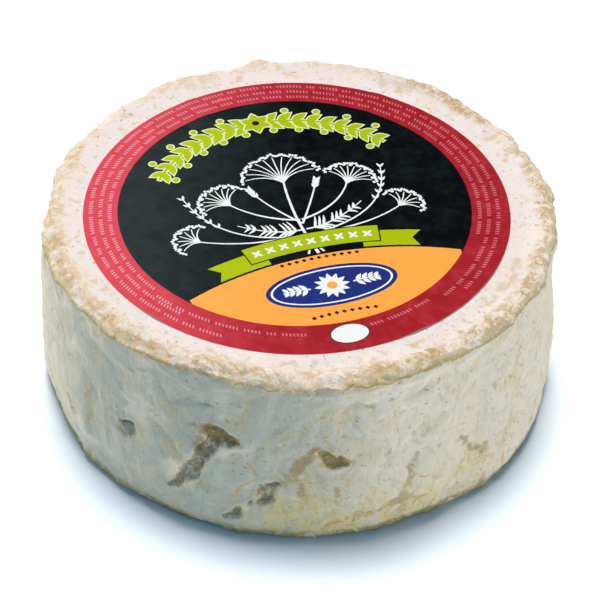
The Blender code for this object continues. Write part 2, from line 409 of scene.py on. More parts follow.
def top_wave(points):
    """The gentle rise and fall of the top, which the label follows."""
    flat = points * np.array([1.0, 1.0, 0.0])
    return TOP_WAVE_REACH * wander(flat, TOP_WAVE_SIZE, SEED + 20.0 * UP)


on_rim = blend(radius, 72.0 * MM, 77.0 * MM) * blend(height, 52.0 * MM, 60.0 * MM)
on_side = blend(radius, 78.0 * MM, 82.0 * MM) * blend(height, 2.0 * MM, 9.0 * MM)
swell = SWELL_REACH * wander(drum, SWELL_SIZE, SEED)
fold_space = drum / np.array([1.0, 1.0, FOLD_STRETCH])
fold = FOLD_REACH * wander(fold_space, FOLD_SIZE, SEED + 40.0 * UP)
crumble = CRUMBLE_REACH * wander(drum, CRUMBLE_SIZE, SEED + 60.0 * UP)
crumble += CRUMB_REACH * wander(drum, CRUMB_SIZE, SEED + 80.0 * UP)

near_lip = blend(height, 40.0 * MM, 58.0 * MM) * (1.0 - blend(height, 61.0 * MM, 65.5 * MM))
level_ring = drum * np.array([1.0, 1.0, 0.0])
lip_shift = LIP_WANDER * wander(level_ring, CRUMBLE_SIZE, SEED + 100.0 * UP) * near_lip
roundness = out_of_round(azimuth, height) * blend(radius, 60.0 * MM, 80.0 * MM)
print("swell and fold in mm:", round(float((swell + fold).max() * 1000), 2))

# %% [markdown]
# ## Torn patches
#
# Where the rind stuck to its mat it has torn and left a rough, olive-brown floor with frayed
# edges. The solid model has plain hollows there. Here each tear is a path on the side, wide
# and narrow by turns, whose edge is frayed by noise: inside it the skin is gone and the floor
# is crumpled, and just outside it the skin curls up. Dents without a tear stay smooth. The
# masks are kept for the finish.

# %% Where the side is torn
# Each tear is a depth, then its path as azimuth in degrees, height and half width.
TEARS = (
    (1.1 * MM, ((-109.6, 44.2, 1.0), (-108.0, 43.8, 3.0), (-106.2, 42.8, 4.6), (-104.6, 42.2, 3.4),
                (-103.0, 41.6, 1.8), (-101.4, 40.8, 0.7))),
    (1.4 * MM, ((-107.6, 39.6, 2.4), (-108.9, 36.0, 2.3), (-110.3, 32.2, 2.0), (-111.4, 28.6, 2.5),
                (-112.2, 24.8, 2.7), (-114.5, 19.6, 1.2), (-117.4, 15.6, 0.4))),
    (0.9 * MM, ((-130.0, 32.0, 1.5), (-127.4, 32.8, 1.5))),
    (0.7 * MM, ((-84.6, 39.6, 0.6), (-83.4, 37.8, 1.8), (-82.0, 36.2, 2.6), (-80.8, 34.8, 1.7),
                (-79.6, 33.4, 0.5))),
    (1.3 * MM, ((-94.0, 26.4, 1.0), (-95.4, 23.4, 2.4), (-96.3, 20.0, 2.7), (-97.2, 17.4, 1.4))),
    (1.1 * MM, ((-99.0, 17.6, 0.5), (-99.9, 15.4, 0.6))),
    (1.2 * MM, ((-101.4, 13.8, 1.0), (-102.9, 11.0, 1.6), (-104.2, 8.6, 1.0))),
    (0.9 * MM, ((-109.6, 3.4, 1.2), (-107.2, 2.8, 1.6))),
    (0.7 * MM, ((-85.2, 5.4, 0.8), (-83.6, 7.0, 1.0))),
    (1.2 * MM, ((121.0, 26.0, 1.0), (118.0, 22.0, 3.0), (113.0, 20.0, 2.2), (109.0, 16.0, 0.8))),
    (1.2 * MM, ((156.0, 43.0, 1.2), (158.0, 40.0, 2.6), (160.5, 34.0, 1.4))),
)
print("tears:", len(TEARS))

# %% Where it is dented
# Each dent is an azimuth, a height, half a width and half a height, a lean and a depth.
DENTS = (
    (-127.9, 31.0 * MM, 2.9 * MM, 2.7 * MM, 0.0, 1.9 * MM),
    (-88.5, 34.5 * MM, 3.2 * MM, 9.0 * MM, 24.0, 0.8 * MM),
    (-78.6, 55.0 * MM, 4.5 * MM, 12.0 * MM, -6.0, 0.7 * MM),
    (-97.0, 20.0 * MM, 7.0 * MM, 5.0 * MM, -25.0, 0.5 * MM),
    (-109.0, 33.0 * MM, 6.0 * MM, 15.0 * MM, -15.0, 0.5 * MM),
    (-47.5, 38.0 * MM, 3.6 * MM, 13.0 * MM, 0.0, 0.9 * MM),
    (-54.0, 33.0 * MM, 3.0 * MM, 9.0 * MM, 10.0, 0.5 * MM),
    (-138.5, 26.0 * MM, 4.5 * MM, 15.0 * MM, 6.0, 0.9 * MM),
    (-65.0, 22.0 * MM, 2.4 * MM, 12.0 * MM, 2.0, 0.7 * MM),
    (-146.0, 14.5 * MM, 2.2 * MM, 7.0 * MM, 0.0, 0.6 * MM),
    (20.0, 25.0 * MM, 6.0 * MM, 9.0 * MM, -20.0, 1.0 * MM),
    (62.0, 34.0 * MM, 7.0 * MM, 10.0 * MM, 25.0, 1.1 * MM),
)
print("dents:", len(DENTS))

# %% Sink the tears
FAR_AWAY = 1.0
FRAY = 1.5 * MM
CURL = 0.35 * MM


def path_distance(across_zero, level, path):
    """The distance from a path of varying half width on the side, negative inside it."""
    nearest = np.full(len(level), FAR_AWAY)
    for (turn_a, level_a, half_a), (turn_b, level_b, half_b) in zip(path, path[1:]):
        along = np.radians(turn_b - turn_a) * BELLY_RADIUS
        up = (level_b - level_a) * MM
        from_a = across_zero - np.radians(turn_a) * BELLY_RADIUS
        above_a = level - level_a * MM
        length = along * along + up * up + 1e-12
        share = np.clip((from_a * along + above_a * up) / length, 0.0, 1.0)
        away = np.hypot(from_a - share * along, above_a - share * up)
        nearest = np.minimum(nearest, away - (half_a + (half_b - half_a) * share) * MM)
    return nearest


def fray(seed):
    """Noise in three sizes that bends a torn edge."""
    coarse = wander(drum, 6.0 * MM, SEED + seed) + 0.6 * wander(drum, 2.8 * MM, SEED + seed + 2.0)
    return FRAY * (coarse + 0.4 * wander(drum, 1.5 * MM, SEED + seed + 4.0))


across_side = azimuth * BELLY_RADIUS + fray(7.0)
frayed_height = height + fray(17.0)
torn = np.zeros(len(drum))
torn_depth = np.zeros(len(drum))
curl = np.zeros(len(drum))
for depth, path in TEARS:
    distance = path_distance(across_side, frayed_height, path)
    inside = 1.0 - blend(distance, -0.8 * MM, 0.3 * MM)
    torn = np.maximum(torn, np.clip(0.5 - distance / (3.0 * MM), 0.0, 1.0))
    torn_depth = np.maximum(torn_depth, depth * inside)
    curl = np.maximum(curl, CURL * np.exp(-((distance - 0.8 * MM) / (0.6 * MM)) ** 2))
print("share of the rind that is torn:", round(float((torn > 0.5).mean()), 3))

# %% Sink the dents and crumple the torn floors
CRUMPLE = 1.3 * MM

dent = np.zeros(len(drum))
for centre, middle, half_width, half_height, lean, depth in DENTS:
    across = np.radians(degrees_apart(azimuth, centre)) * BELLY_RADIUS
    up = height - middle
    lean_cos, lean_sin = math.cos(math.radians(lean)), math.sin(math.radians(lean))
    beside = (across * lean_cos + up * lean_sin) / half_width
    along = (up * lean_cos - across * lean_sin) / half_height
    dent += depth * (1.0 - blend(np.hypot(beside, along), 0.35, 1.25))

crumpled = drum * np.array([1.0, 1.0, 1.9])
folds = np.abs(wander(crumpled, 3.0 * MM, SEED + 27.0))
folds += 0.5 * np.abs(wander(crumpled, 1.4 * MM, SEED + 29.0))
rough_floor = CRUMPLE * (folds - 0.35) * np.minimum(torn_depth / (1.2 * MM), 1.0)
print("deepest dent in mm:", round(float(dent.max() * 1000), 2))

# %% [markdown]
# ### Stains without relief
#
# Brown smears lie round the tears and run down the side, whey has dried golden in a few
# creases, and young mould is whiter than old. They could be left to noise, but the eye knows
# the photo's marks by their places, so they are painted along paths like the tears.

# %% Where it is smeared and streaked
# Each smear is a path of olive-brown stain, given like a tear's path, and not torn.
SMEARS = (
    ((-109.4, 44.2, 2.8), (-106.4, 43.0, 4.6), (-103.8, 42.2, 2.8)),
    ((-110.0, 45.4, 0.3), (-113.0, 45.0, 0.1)),
    ((-130.6, 28.0, 1.0), (-127.6, 27.2, 0.9)),
    ((-130.4, 32.4, 1.0), (-127.8, 33.2, 0.9)),
    ((-109.9, 41.4, 1.4), (-110.2, 36.6, 1.6), (-110.9, 32.0, 0.8)),
    ((-101.3, 17.1, 0.5), (-99.2, 19.4, 0.6), (-96.7, 24.2, 0.5), (-93.6, 26.8, 0.8)),
    ((-92.6, 4.4, 0.7), (-90.0, 3.2, 1.4), (-87.2, 2.4, 0.9)),
    ((-85.3, 41.6, 0.9), (-87.3, 38.0, 1.6), (-89.3, 33.6, 2.0), (-90.9, 30.2, 2.1),
     (-92.6, 26.6, 1.3)),
    ((-84.6, 39.4, 1.8), (-82.4, 36.4, 3.4), (-80.4, 34.4, 2.2), (-78.0, 35.4, 0.6)),
    ((-90.6, 29.6, 1.4), (-88.4, 23.0, 1.3), (-88.1, 18.6, 1.6), (-88.5, 14.4, 1.1)),
    ((-81.4, 24.6, 0.7), (-80.9, 21.4, 1.2), (-80.6, 17.2, 0.8)),
    ((-92.6, 25.6, 0.9), (-90.2, 27.6, 0.8), (-88.2, 28.4, 0.5)),
    ((-63.8, 30.8, 1.1), (-64.6, 27.2, 1.7), (-65.3, 22.1, 1.0), (-65.4, 18.6, 1.4), (-66.7, 15.0, 2.3),
     (-66.3, 9.4, 1.4), (-66.0, 4.0, 1.1)),
    ((-77.4, 8.8, 0.4), (-73.6, 11.6, 1.0), (-68.7, 13.4, 1.3), (-65.0, 13.6, 1.2), (-61.0, 12.4, 0.4)),
    ((-52.3, 29.2, 0.8), (-50.5, 26.2, 1.0), (-47.8, 21.8, 1.4), (-45.1, 19.0, 1.1),
     (-44.7, 21.4, 0.4)),
    ((-45.3, 8.6, 0.6), (-46.0, 5.0, 1.0), (-47.0, 1.8, 1.0)),
    ((-70.4, 39.8, 0.4), (-69.9, 36.8, 0.3)),
    ((-75.0, 54.8, 0.6), (-73.6, 55.4, 0.5)),
    ((-59.9, 19.7, 0.25), (-58.1, 18.4, 0.3)),
    ((-42.6, 45.4, 0.5), (-42.6, 43.4, 0.5)),
    ((-149.0, 22.5, 0.8), (-148.0, 19.0, 1.3), (-148.3, 13.2, 0.8)),
    ((-50.1, 67.4, 0.3), (-50.8, 65.6, 0.3), (-51.8, 64.0, 0.25)),
    ((-107.7, 20.2, 0.3), (-108.1, 16.4, 0.35)),
    ((30.0, 40.0, 1.0), (34.0, 30.0, 1.8), (33.0, 22.0, 1.0)),
    ((88.0, 30.0, 1.2), (92.0, 18.0, 2.0), (90.0, 10.0, 1.2)),
)
# Each golden streak is such a path too, but thin, where whey has dried in a crease.
GOLDEN_STREAKS = (
    ((-84.4, 7.0, 0.5), (-80.0, 9.7, 0.8), (-76.5, 11.0, 0.9), (-73.0, 11.8, 0.5)),
    ((-68.0, 12.6, 0.5), (-64.0, 12.2, 0.7), (-60.6, 12.2, 0.5)),
    ((-102.8, 19.4, 0.6), (-101.0, 23.0, 0.9), (-99.2, 25.8, 0.6)),
    ((-100.2, 37.0, 0.4), (-99.6, 33.5, 0.5), (-98.6, 30.0, 0.4)),
    ((-84.6, 45.0, 0.3), (-82.0, 42.0, 0.4)),
    ((-82.6, 29.4, 0.5), (-83.9, 25.2, 0.6)),
    ((-63.2, 22.8, 0.3), (-61.2, 21.2, 0.5)),
    ((-71.6, 27.0, 0.3), (-70.6, 24.0, 0.4)),
    ((70.0, 30.0, 0.5), (73.0, 24.0, 0.7), (71.0, 18.0, 0.5)),
)
# Each fresh spot is such a path of young white mould, in a pit or along a tear.
FRESH_SPOTS = (
    ((-126.6, 31.4, 0.7), (-126.5, 29.6, 0.8)),
    ((-105.4, 37.0, 1.0), (-105.2, 30.0, 2.0), (-106.2, 23.0, 1.6)),
    ((-89.2, 49.2, 0.5), (-87.4, 50.8, 0.5)),
    ((-83.4, 31.8, 0.7), (-79.8, 31.0, 0.8)),
    ((-97.6, 26.0, 0.4), (-94.6, 27.8, 0.5)),
    ((-90.4, 21.0, 1.4), (-86.0, 12.0, 2.0), (-82.0, 9.0, 1.0)),
    ((-60.0, 26.0, 1.5), (-57.0, 16.0, 2.4)),
)


def painted(paths):
    """A mask of paths on the side: 1 well inside them, 0 well outside, 0.5 on their edge."""
    cover = np.zeros(len(drum))
    for path in paths:
        distance = path_distance(across_side, frayed_height, path)
        cover = np.maximum(cover, np.clip(0.5 - distance / (3.0 * MM), 0.0, 1.0))
    return cover


stained = painted(SMEARS)
streaked = painted(GOLDEN_STREAKS)
fresh = painted(FRESH_SPOTS)
print("smears, streaks and fresh spots:", len(SMEARS), len(GOLDEN_STREAKS), len(FRESH_SPOTS))

# %% [markdown]
# ## The crumbly rim
#
# Mould and salt dry into crumbs along the rim, because that is where hands and air reach it
# most. The crust is a layer of its own: it ends at the lip in a ragged step that overhangs
# the side by up to a millimetre, and thins out over the top. The absolute value of noise
# makes puffy lumps with sharp creases between them, in three sizes, flattened into ledges.
# The creases, the lip and the brow just above it are kept as masks, as they are where the
# finish turns golden.

# %% Crumbs on the rim
# Each layer of crumbs is a size and how far its crumbs stand out.
CRUST_LAYERS = ((6.0 * MM, 1.4 * MM), (3.0 * MM, 1.0 * MM), (1.5 * MM, 0.45 * MM))
CRUST_THICKNESS = 1.1 * MM
CRUST_FOOT = 64.4 * MM
LEDGE = np.array([1.0, 1.0, 1.9])

crust = np.zeros(len(drum))
crease = np.zeros(len(drum))
for count, (size, reach) in enumerate(CRUST_LAYERS):
    lumps = np.abs(wander(drum * LEDGE, size, SEED + 31.0 + 11.0 * count))
    crust += reach * (lumps - 0.25)
    crease = np.maximum(crease, (1.0 - blend(lumps, 0.0, 0.16)) * (1.0 - 0.2 * count))
ragged = 0.6 * MM * wander(drum * LEDGE, 4.5 * MM, SEED + 71.0)
ragged += (0.4 * MM * wander(drum, 1.8 * MM, SEED + 73.0)
           + 1.2 * MM * wander(drum, 20.0 * MM, SEED + 79.0))
above_lip = height + ragged - CRUST_FOOT
lip_step = blend(above_lip, -0.35 * MM, 0.45 * MM)
lip_line = np.exp(-((above_lip - 0.3 * MM) / (0.7 * MM)) ** 2) * blend(radius, 80.0 * MM, 82.0 * MM)
brow = np.exp(-((above_lip - 1.5 * MM) / (1.8 * MM)) ** 2) * lip_step
brow *= blend(radius, 81.0 * MM, 83.0 * MM)
inner_edge = radius + 2.2 * MM * wander(drum, 9.0 * MM, SEED + 75.0)
thick = 0.55 + 0.45 * blend(wander(drum, 28.0 * MM, SEED + 77.0), -0.3, 0.3)
thick *= 0.5 + 0.5 * blend(-drum[:, 1], -50.0 * MM, 55.0 * MM)
crusty = lip_step * blend(inner_edge, 75.0 * MM, 81.0 * MM) * thick
print("crust stands up to mm:", round(float((crust * crusty).max() * 1000), 2))

# %% [markdown]
# ## The skin
#
# Between the torn patches the side is a thin skin like kid leather: shallow dimples, soft
# creases, very fine upright wrinkles, and here and there the pinholes of the mat in rows. The
# foot is flaky where it stood on the mat. The top is drier and slightly pitted. The pinholes
# come first: each row strays a little, as the mat never lay quite flat.

# %% Pinholes
# Each group is an azimuth, a height, rows and columns, the pitches across and up, and a lean.
PINHOLE_GROUPS = (
    (-99.5, 32.5 * MM, 3, 4, 3.6 * MM, 3.4 * MM, -8.0),
    (-105.0, 53.0 * MM, 3, 4, 3.6 * MM, 3.2 * MM, -4.0),
    (-84.0, 47.0 * MM, 2, 5, 6.0 * MM, 5.5 * MM, 6.0),
    (-64.0, 55.0 * MM, 2, 4, 6.5 * MM, 6.0 * MM, -12.0),
    (-38.0, 44.0 * MM, 3, 3, 7.0 * MM, 8.0 * MM, -10.0),
    (75.0, 36.0 * MM, 3, 4, 4.0 * MM, 4.0 * MM, 5.0),
    (140.0, 46.0 * MM, 3, 4, 4.0 * MM, 4.0 * MM, -6.0),
    (-170.0, 30.0 * MM, 3, 3, 4.0 * MM, 4.0 * MM, 0.0),
)
PINHOLE_RADIUS = 0.75 * MM
PINHOLE_DEPTH = 0.15 * MM
PINHOLE_STRAY = 0.16
DRAW_SEED = 7

draw = np.random.default_rng(DRAW_SEED)
pinhole = np.zeros(len(drum))
side_points = np.flatnonzero(on_side > 0.0)
for centre, middle, rows, columns, pitch_across, pitch_up, lean in PINHOLE_GROUPS:
    for row in range(rows):
        for column in range(columns):
            stray_across, stray_up = draw.normal(0.0, PINHOLE_STRAY, 2) * (pitch_across, pitch_up)
            across = (column - (columns - 1) / 2) * pitch_across + stray_across
            up = (row - (rows - 1) / 2) * pitch_up + stray_up
            up += across * math.tan(math.radians(lean))
            place = math.radians(centre) + across / BELLY_RADIUS
            size = PINHOLE_RADIUS * draw.uniform(0.7, 1.2)
            distance = np.hypot(
                np.radians(degrees_apart(azimuth[side_points], math.degrees(place))) * BELLY_RADIUS,
                (height[side_points] - middle - up) * 1.5) / size
            prick = 1.0 - blend(distance, 0.3, 1.2)
            pinhole[side_points] = np.maximum(pinhole[side_points], prick)
print("pinholes:", sum(group[2] * group[3] for group in PINHOLE_GROUPS))

# %% Dimples, creases and wrinkles
skin = 0.55 * MM * wander(drum, 16.0 * MM, SEED + 3.0) + 0.2 * MM * wander(drum, 8.0 * MM, SEED + 4.0)
warp = np.stack([wander(drum, 11.0 * MM, SEED + shift) for shift in (81.0, 83.0, 85.0)], 1)
warped = drum + 7.0 * MM * warp
creased = np.abs(wander(warped * np.array([1.0, 1.0, 0.5]), 8.0 * MM, SEED + 5.0))
creased = creased + 0.4 * np.abs(wander(warped, 4.0 * MM, SEED + 6.0))
skin += 0.45 * MM * (blend(creased, 0.0, 0.6) - 0.6)
skin += 0.20 * MM * wander(drum, 4.2 * MM, SEED + 13.0)
skin += 0.14 * MM * wander(drum / np.array([1.0, 1.0, 3.0]), 2.6 * MM, SEED + 23.0)
skin += 0.08 * MM * wander(drum, 1.6 * MM, SEED + 33.0)
skin *= blend(height, 0.2 * MM, 4.0 * MM) * blend(radius, 78.0 * MM, 83.0 * MM)
print("skin rises up to mm:", round(float(skin.max() * 1000), 2))

# %% The flaky foot and the pitted top
flaking = np.abs(wander(drum, 3.0 * MM, SEED + 35.0))
flaking += 0.5 * np.abs(wander(drum, 1.5 * MM, SEED + 37.0))
foot = (1.0 - blend(height, 2.5 * MM, 6.5 * MM)) * blend(radius, 81.0 * MM, 83.5 * MM)
skin += foot * (1.1 * MM * (flaking - 0.3) + 0.7 * MM * wander(drum, 9.0 * MM, SEED + 39.0))

on_top = blend(height, 62.0 * MM, 66.0 * MM) * blend(radius, 71.0 * MM, 74.0 * MM)
lumpy = np.abs(wander(drum, 10.0 * MM, SEED + 45.0))
pits = wander(drum, 4.0 * MM, SEED + 43.0)
top_pits = np.minimum(pits + 0.40, 0.0)
top_relief = 1.1 * MM * (np.minimum(lumpy, 0.35) - 0.2) + 1.3 * MM * top_pits
top_relief += 0.12 * MM * wander(drum, 2.4 * MM, SEED + 47.0)
skin += top_relief * on_top
print("share of the top that is pitted:", round(float((top_pits * on_top < -0.05).mean()), 3))

# %% [markdown]
# ## The rind as one mesh
#
# All the layers add up along each point's own direction. The top stands 0.4 mm proud of the
# solid, so that it reaches the back of the label. The base stays flat, as the wheel rests on
# it. Rings of quads join the points, with a fan of triangles at both poles. The masks go on
# the mesh as attributes, which the finish reads.

# %% Add up the relief
BLOOM_UNDER_LABEL = 0.4 * MM

relief = (swell + fold - dent - torn_depth + curl + rough_floor) * on_side + crumble * on_rim
relief += (crust + CRUST_THICKNESS) * crusty + skin - PINHOLE_DEPTH * pinhole * on_side
rind_points = drum + drum_facing * relief[:, None] + outward * roundness[:, None]
rind_points[:, 2] += lip_shift + top_wave(drum) * blend(height, 46.0 * MM, 62.0 * MM)
rind_points[:, 2] += BLOOM_UNDER_LABEL * blend(height, 62.0 * MM, TOP_HEIGHT)
rind_points[height <= 0.0, 2] = 0.0
rind_points[:, 2] = np.maximum(rind_points[:, 2], 0.0)
print("rind is high in mm:", round(float(rind_points[:, 2].max() * 1000), 1))

# %% Join the points
rings = len(section)
grid = np.arange(rings * WHEEL_STEPS).reshape(rings, WHEEL_STEPS)
top_pole = int(grid[0, 0])
base_pole = int(grid[-1, 0])
across = np.roll(grid, -1, axis=1)
faces = []
for ring in range(1, rings - 2):
    upper, lower = grid[ring], grid[ring + 1]
    upper_next, lower_next = across[ring], across[ring + 1]
    faces += np.stack([upper, lower, lower_next, upper_next], 1).tolist()
faces += [(top_pole, int(a), int(b)) for a, b in zip(grid[1], across[1])]
faces += [(base_pole, int(b), int(a)) for a, b in zip(grid[-2], across[-2])]

used = np.zeros(len(rind_points), bool)
used[grid[1:-1].ravel()] = True
used[[top_pole, base_pole]] = True
renumbered = np.cumsum(used) - 1
faces = [[int(renumbered[corner]) for corner in face] for face in faces]

rind_mesh = bpy.data.meshes.new("bloomy_rind")
rind_mesh.from_pydata(rind_points[used].tolist(), [], faces)
rind_mesh.shade_smooth()
rind = new_object("bloomy_rind", rind_mesh)
print("rind triangles:", sum(len(face) - 2 for face in faces))

# %% Keep the masks on the mesh
masks = {
    "torn": torn * on_side,
    "curl": curl / CURL,
    "crease": crease * crusty,
    "rim": crusty,
    "lip": lip_line,
    "brow": brow,
    "pit": np.clip(-top_pits * 4.0, 0.0, 1.0) * on_top,
    "top dip": (1.0 - blend(lumpy, 0.0, 0.2)) * on_top,
    "side": (1.0 - lip_step) * blend(radius, 79.0 * MM, 81.0 * MM),
    "pinhole": pinhole * on_side,
    "stain": stained,
    "streak": streaked,
    "fresh": fresh,
    "foot": foot,
    # The hollows of the side's creases, which the finish darkens as painted shade.
    "hollow": 1.0 - blend(creased, 0.0, 0.28),
}
for name, values in masks.items():
    attribute = rind_mesh.attributes.new(name, "FLOAT", "POINT")
    attribute.data.foreach_set("value", values[used].astype(np.float32))

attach(rind, "root")
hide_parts("cheese_wheel")
print("masks:", ", ".join(masks))

# %% [markdown]
# ## The finish of the rind
#
# White penicillium mould dried to a matt, slightly velvety coat. It is pinkish white on top and
# warm cream down the side. Between the far left edge and the right the side turns cool grey-green,
# partly where blue mould has crept and partly as painted shade, so that the edges look lit.
# A little subsurface light gets into the curd and softens the shading. Its patterns are noise
# in seven sizes, from drifts of blue mould to the grain of the coat. The velvet of real mould
# is finer than a tenth of a millimetre, and its grain is drawn coarser here, so that it still
# shows.

# %% Start the rind's material
bloom, tree, shader = new_material(
    "bloomy_rind_dried_mould", Roughness=0.8, IOR=1.45, Subsurface_Weight=0.12,
    Subsurface_Scale=1.5 * MM, Sheen_Weight=0.08, Sheen_Roughness=0.5)
shader.inputs["Subsurface Radius"].default_value = (1.0, 0.7, 0.45)

place = add_node(tree, "ShaderNodeTexCoord").outputs["Object"]
mask = {name: add_node(tree, "ShaderNodeAttribute", attribute_name=name).outputs["Fac"]
        for name in masks}
upright = add_node(tree, "ShaderNodeMapping", {"Vector": place, "Scale": (1.0, 1.0, 0.4)}).outputs[0]
spread = add_node(tree, "ShaderNodeSeparateXYZ", {0: place})
print("masks read by the finish:", len(mask))

# %% Patterns in real sizes
# Each pattern is a size, how much detail it has, how far it is swirled and its coordinates.
PATTERNS = {
    "drifts": (26.0 * MM, 3.0, 0.3, place),
    "clouds": (9.0 * MM, 5.0, 0.6, place),
    "mottling": (3.6 * MM, 4.0, 0.4, place),
    "threads": (2.4 * MM, 3.0, 0.8, upright),
    "crumbs": (3.2 * MM, 4.0, 0.8, place),
    "freckles": (1.9 * MM, 2.0, 0.0, place),
    "grain": (0.7 * MM, 2.0, 0.0, place),
}
patterns = {}
for name, (size, detail, swirl, vector) in PATTERNS.items():
    texture = add_node(tree, "ShaderNodeTexNoise",
                       {"Vector": vector, "Scale": 1.0 / size, "Detail": detail, "Roughness": 0.6,
                        "Distortion": swirl})
    patterns[name] = texture.outputs["Fac"]

# The distance of the crumbs' noise from its middle is a net of fine creases, 0 along each.
from_middle = add_node(tree, "ShaderNodeMath", {0: patterns["crumbs"], 1: 0.5}, operation="SUBTRACT")
crumb_ridges = add_node(tree, "ShaderNodeMath", {0: from_middle.outputs[0]},
                        operation="ABSOLUTE").outputs[0]
print("patterns:", ", ".join(patterns))

# %% Break up the edges of the masks
def roughened(source, coarse_share, fine_share):
    """A mask whose edge is broken up by the patterns; its half-way value is the edge."""
    for pattern, share in (("mottling", coarse_share), ("freckles", fine_share)):
        off_middle = add_node(tree, "ShaderNodeMath", {0: patterns[pattern], 1: 0.5},
                              operation="SUBTRACT")
        source = add_node(tree, "ShaderNodeMath", {0: off_middle.outputs[0], 1: share, 2: source},
                          operation="MULTIPLY_ADD").outputs[0]
    return source


torn_mask = roughened(mask["torn"], 1.3, 0.9)
stain_mask = roughened(mask["stain"], 1.5, 0.8)
fresh_mask = roughened(mask["fresh"], 1.5, 0.8)
print("nodes so far:", len(tree.nodes))

# %% [markdown]
# ### The stains
#
# Creases of the rim are golden, torn places olive-brown, and damp has left an olive wash at
# the foot. One image could hold all of it, but here each stain is a Mix node laid over the
# last, with its own mask, so that they can be tuned one at a time. The edges of tears and
# smears are broken up by the patterns, as mould grows in patches.

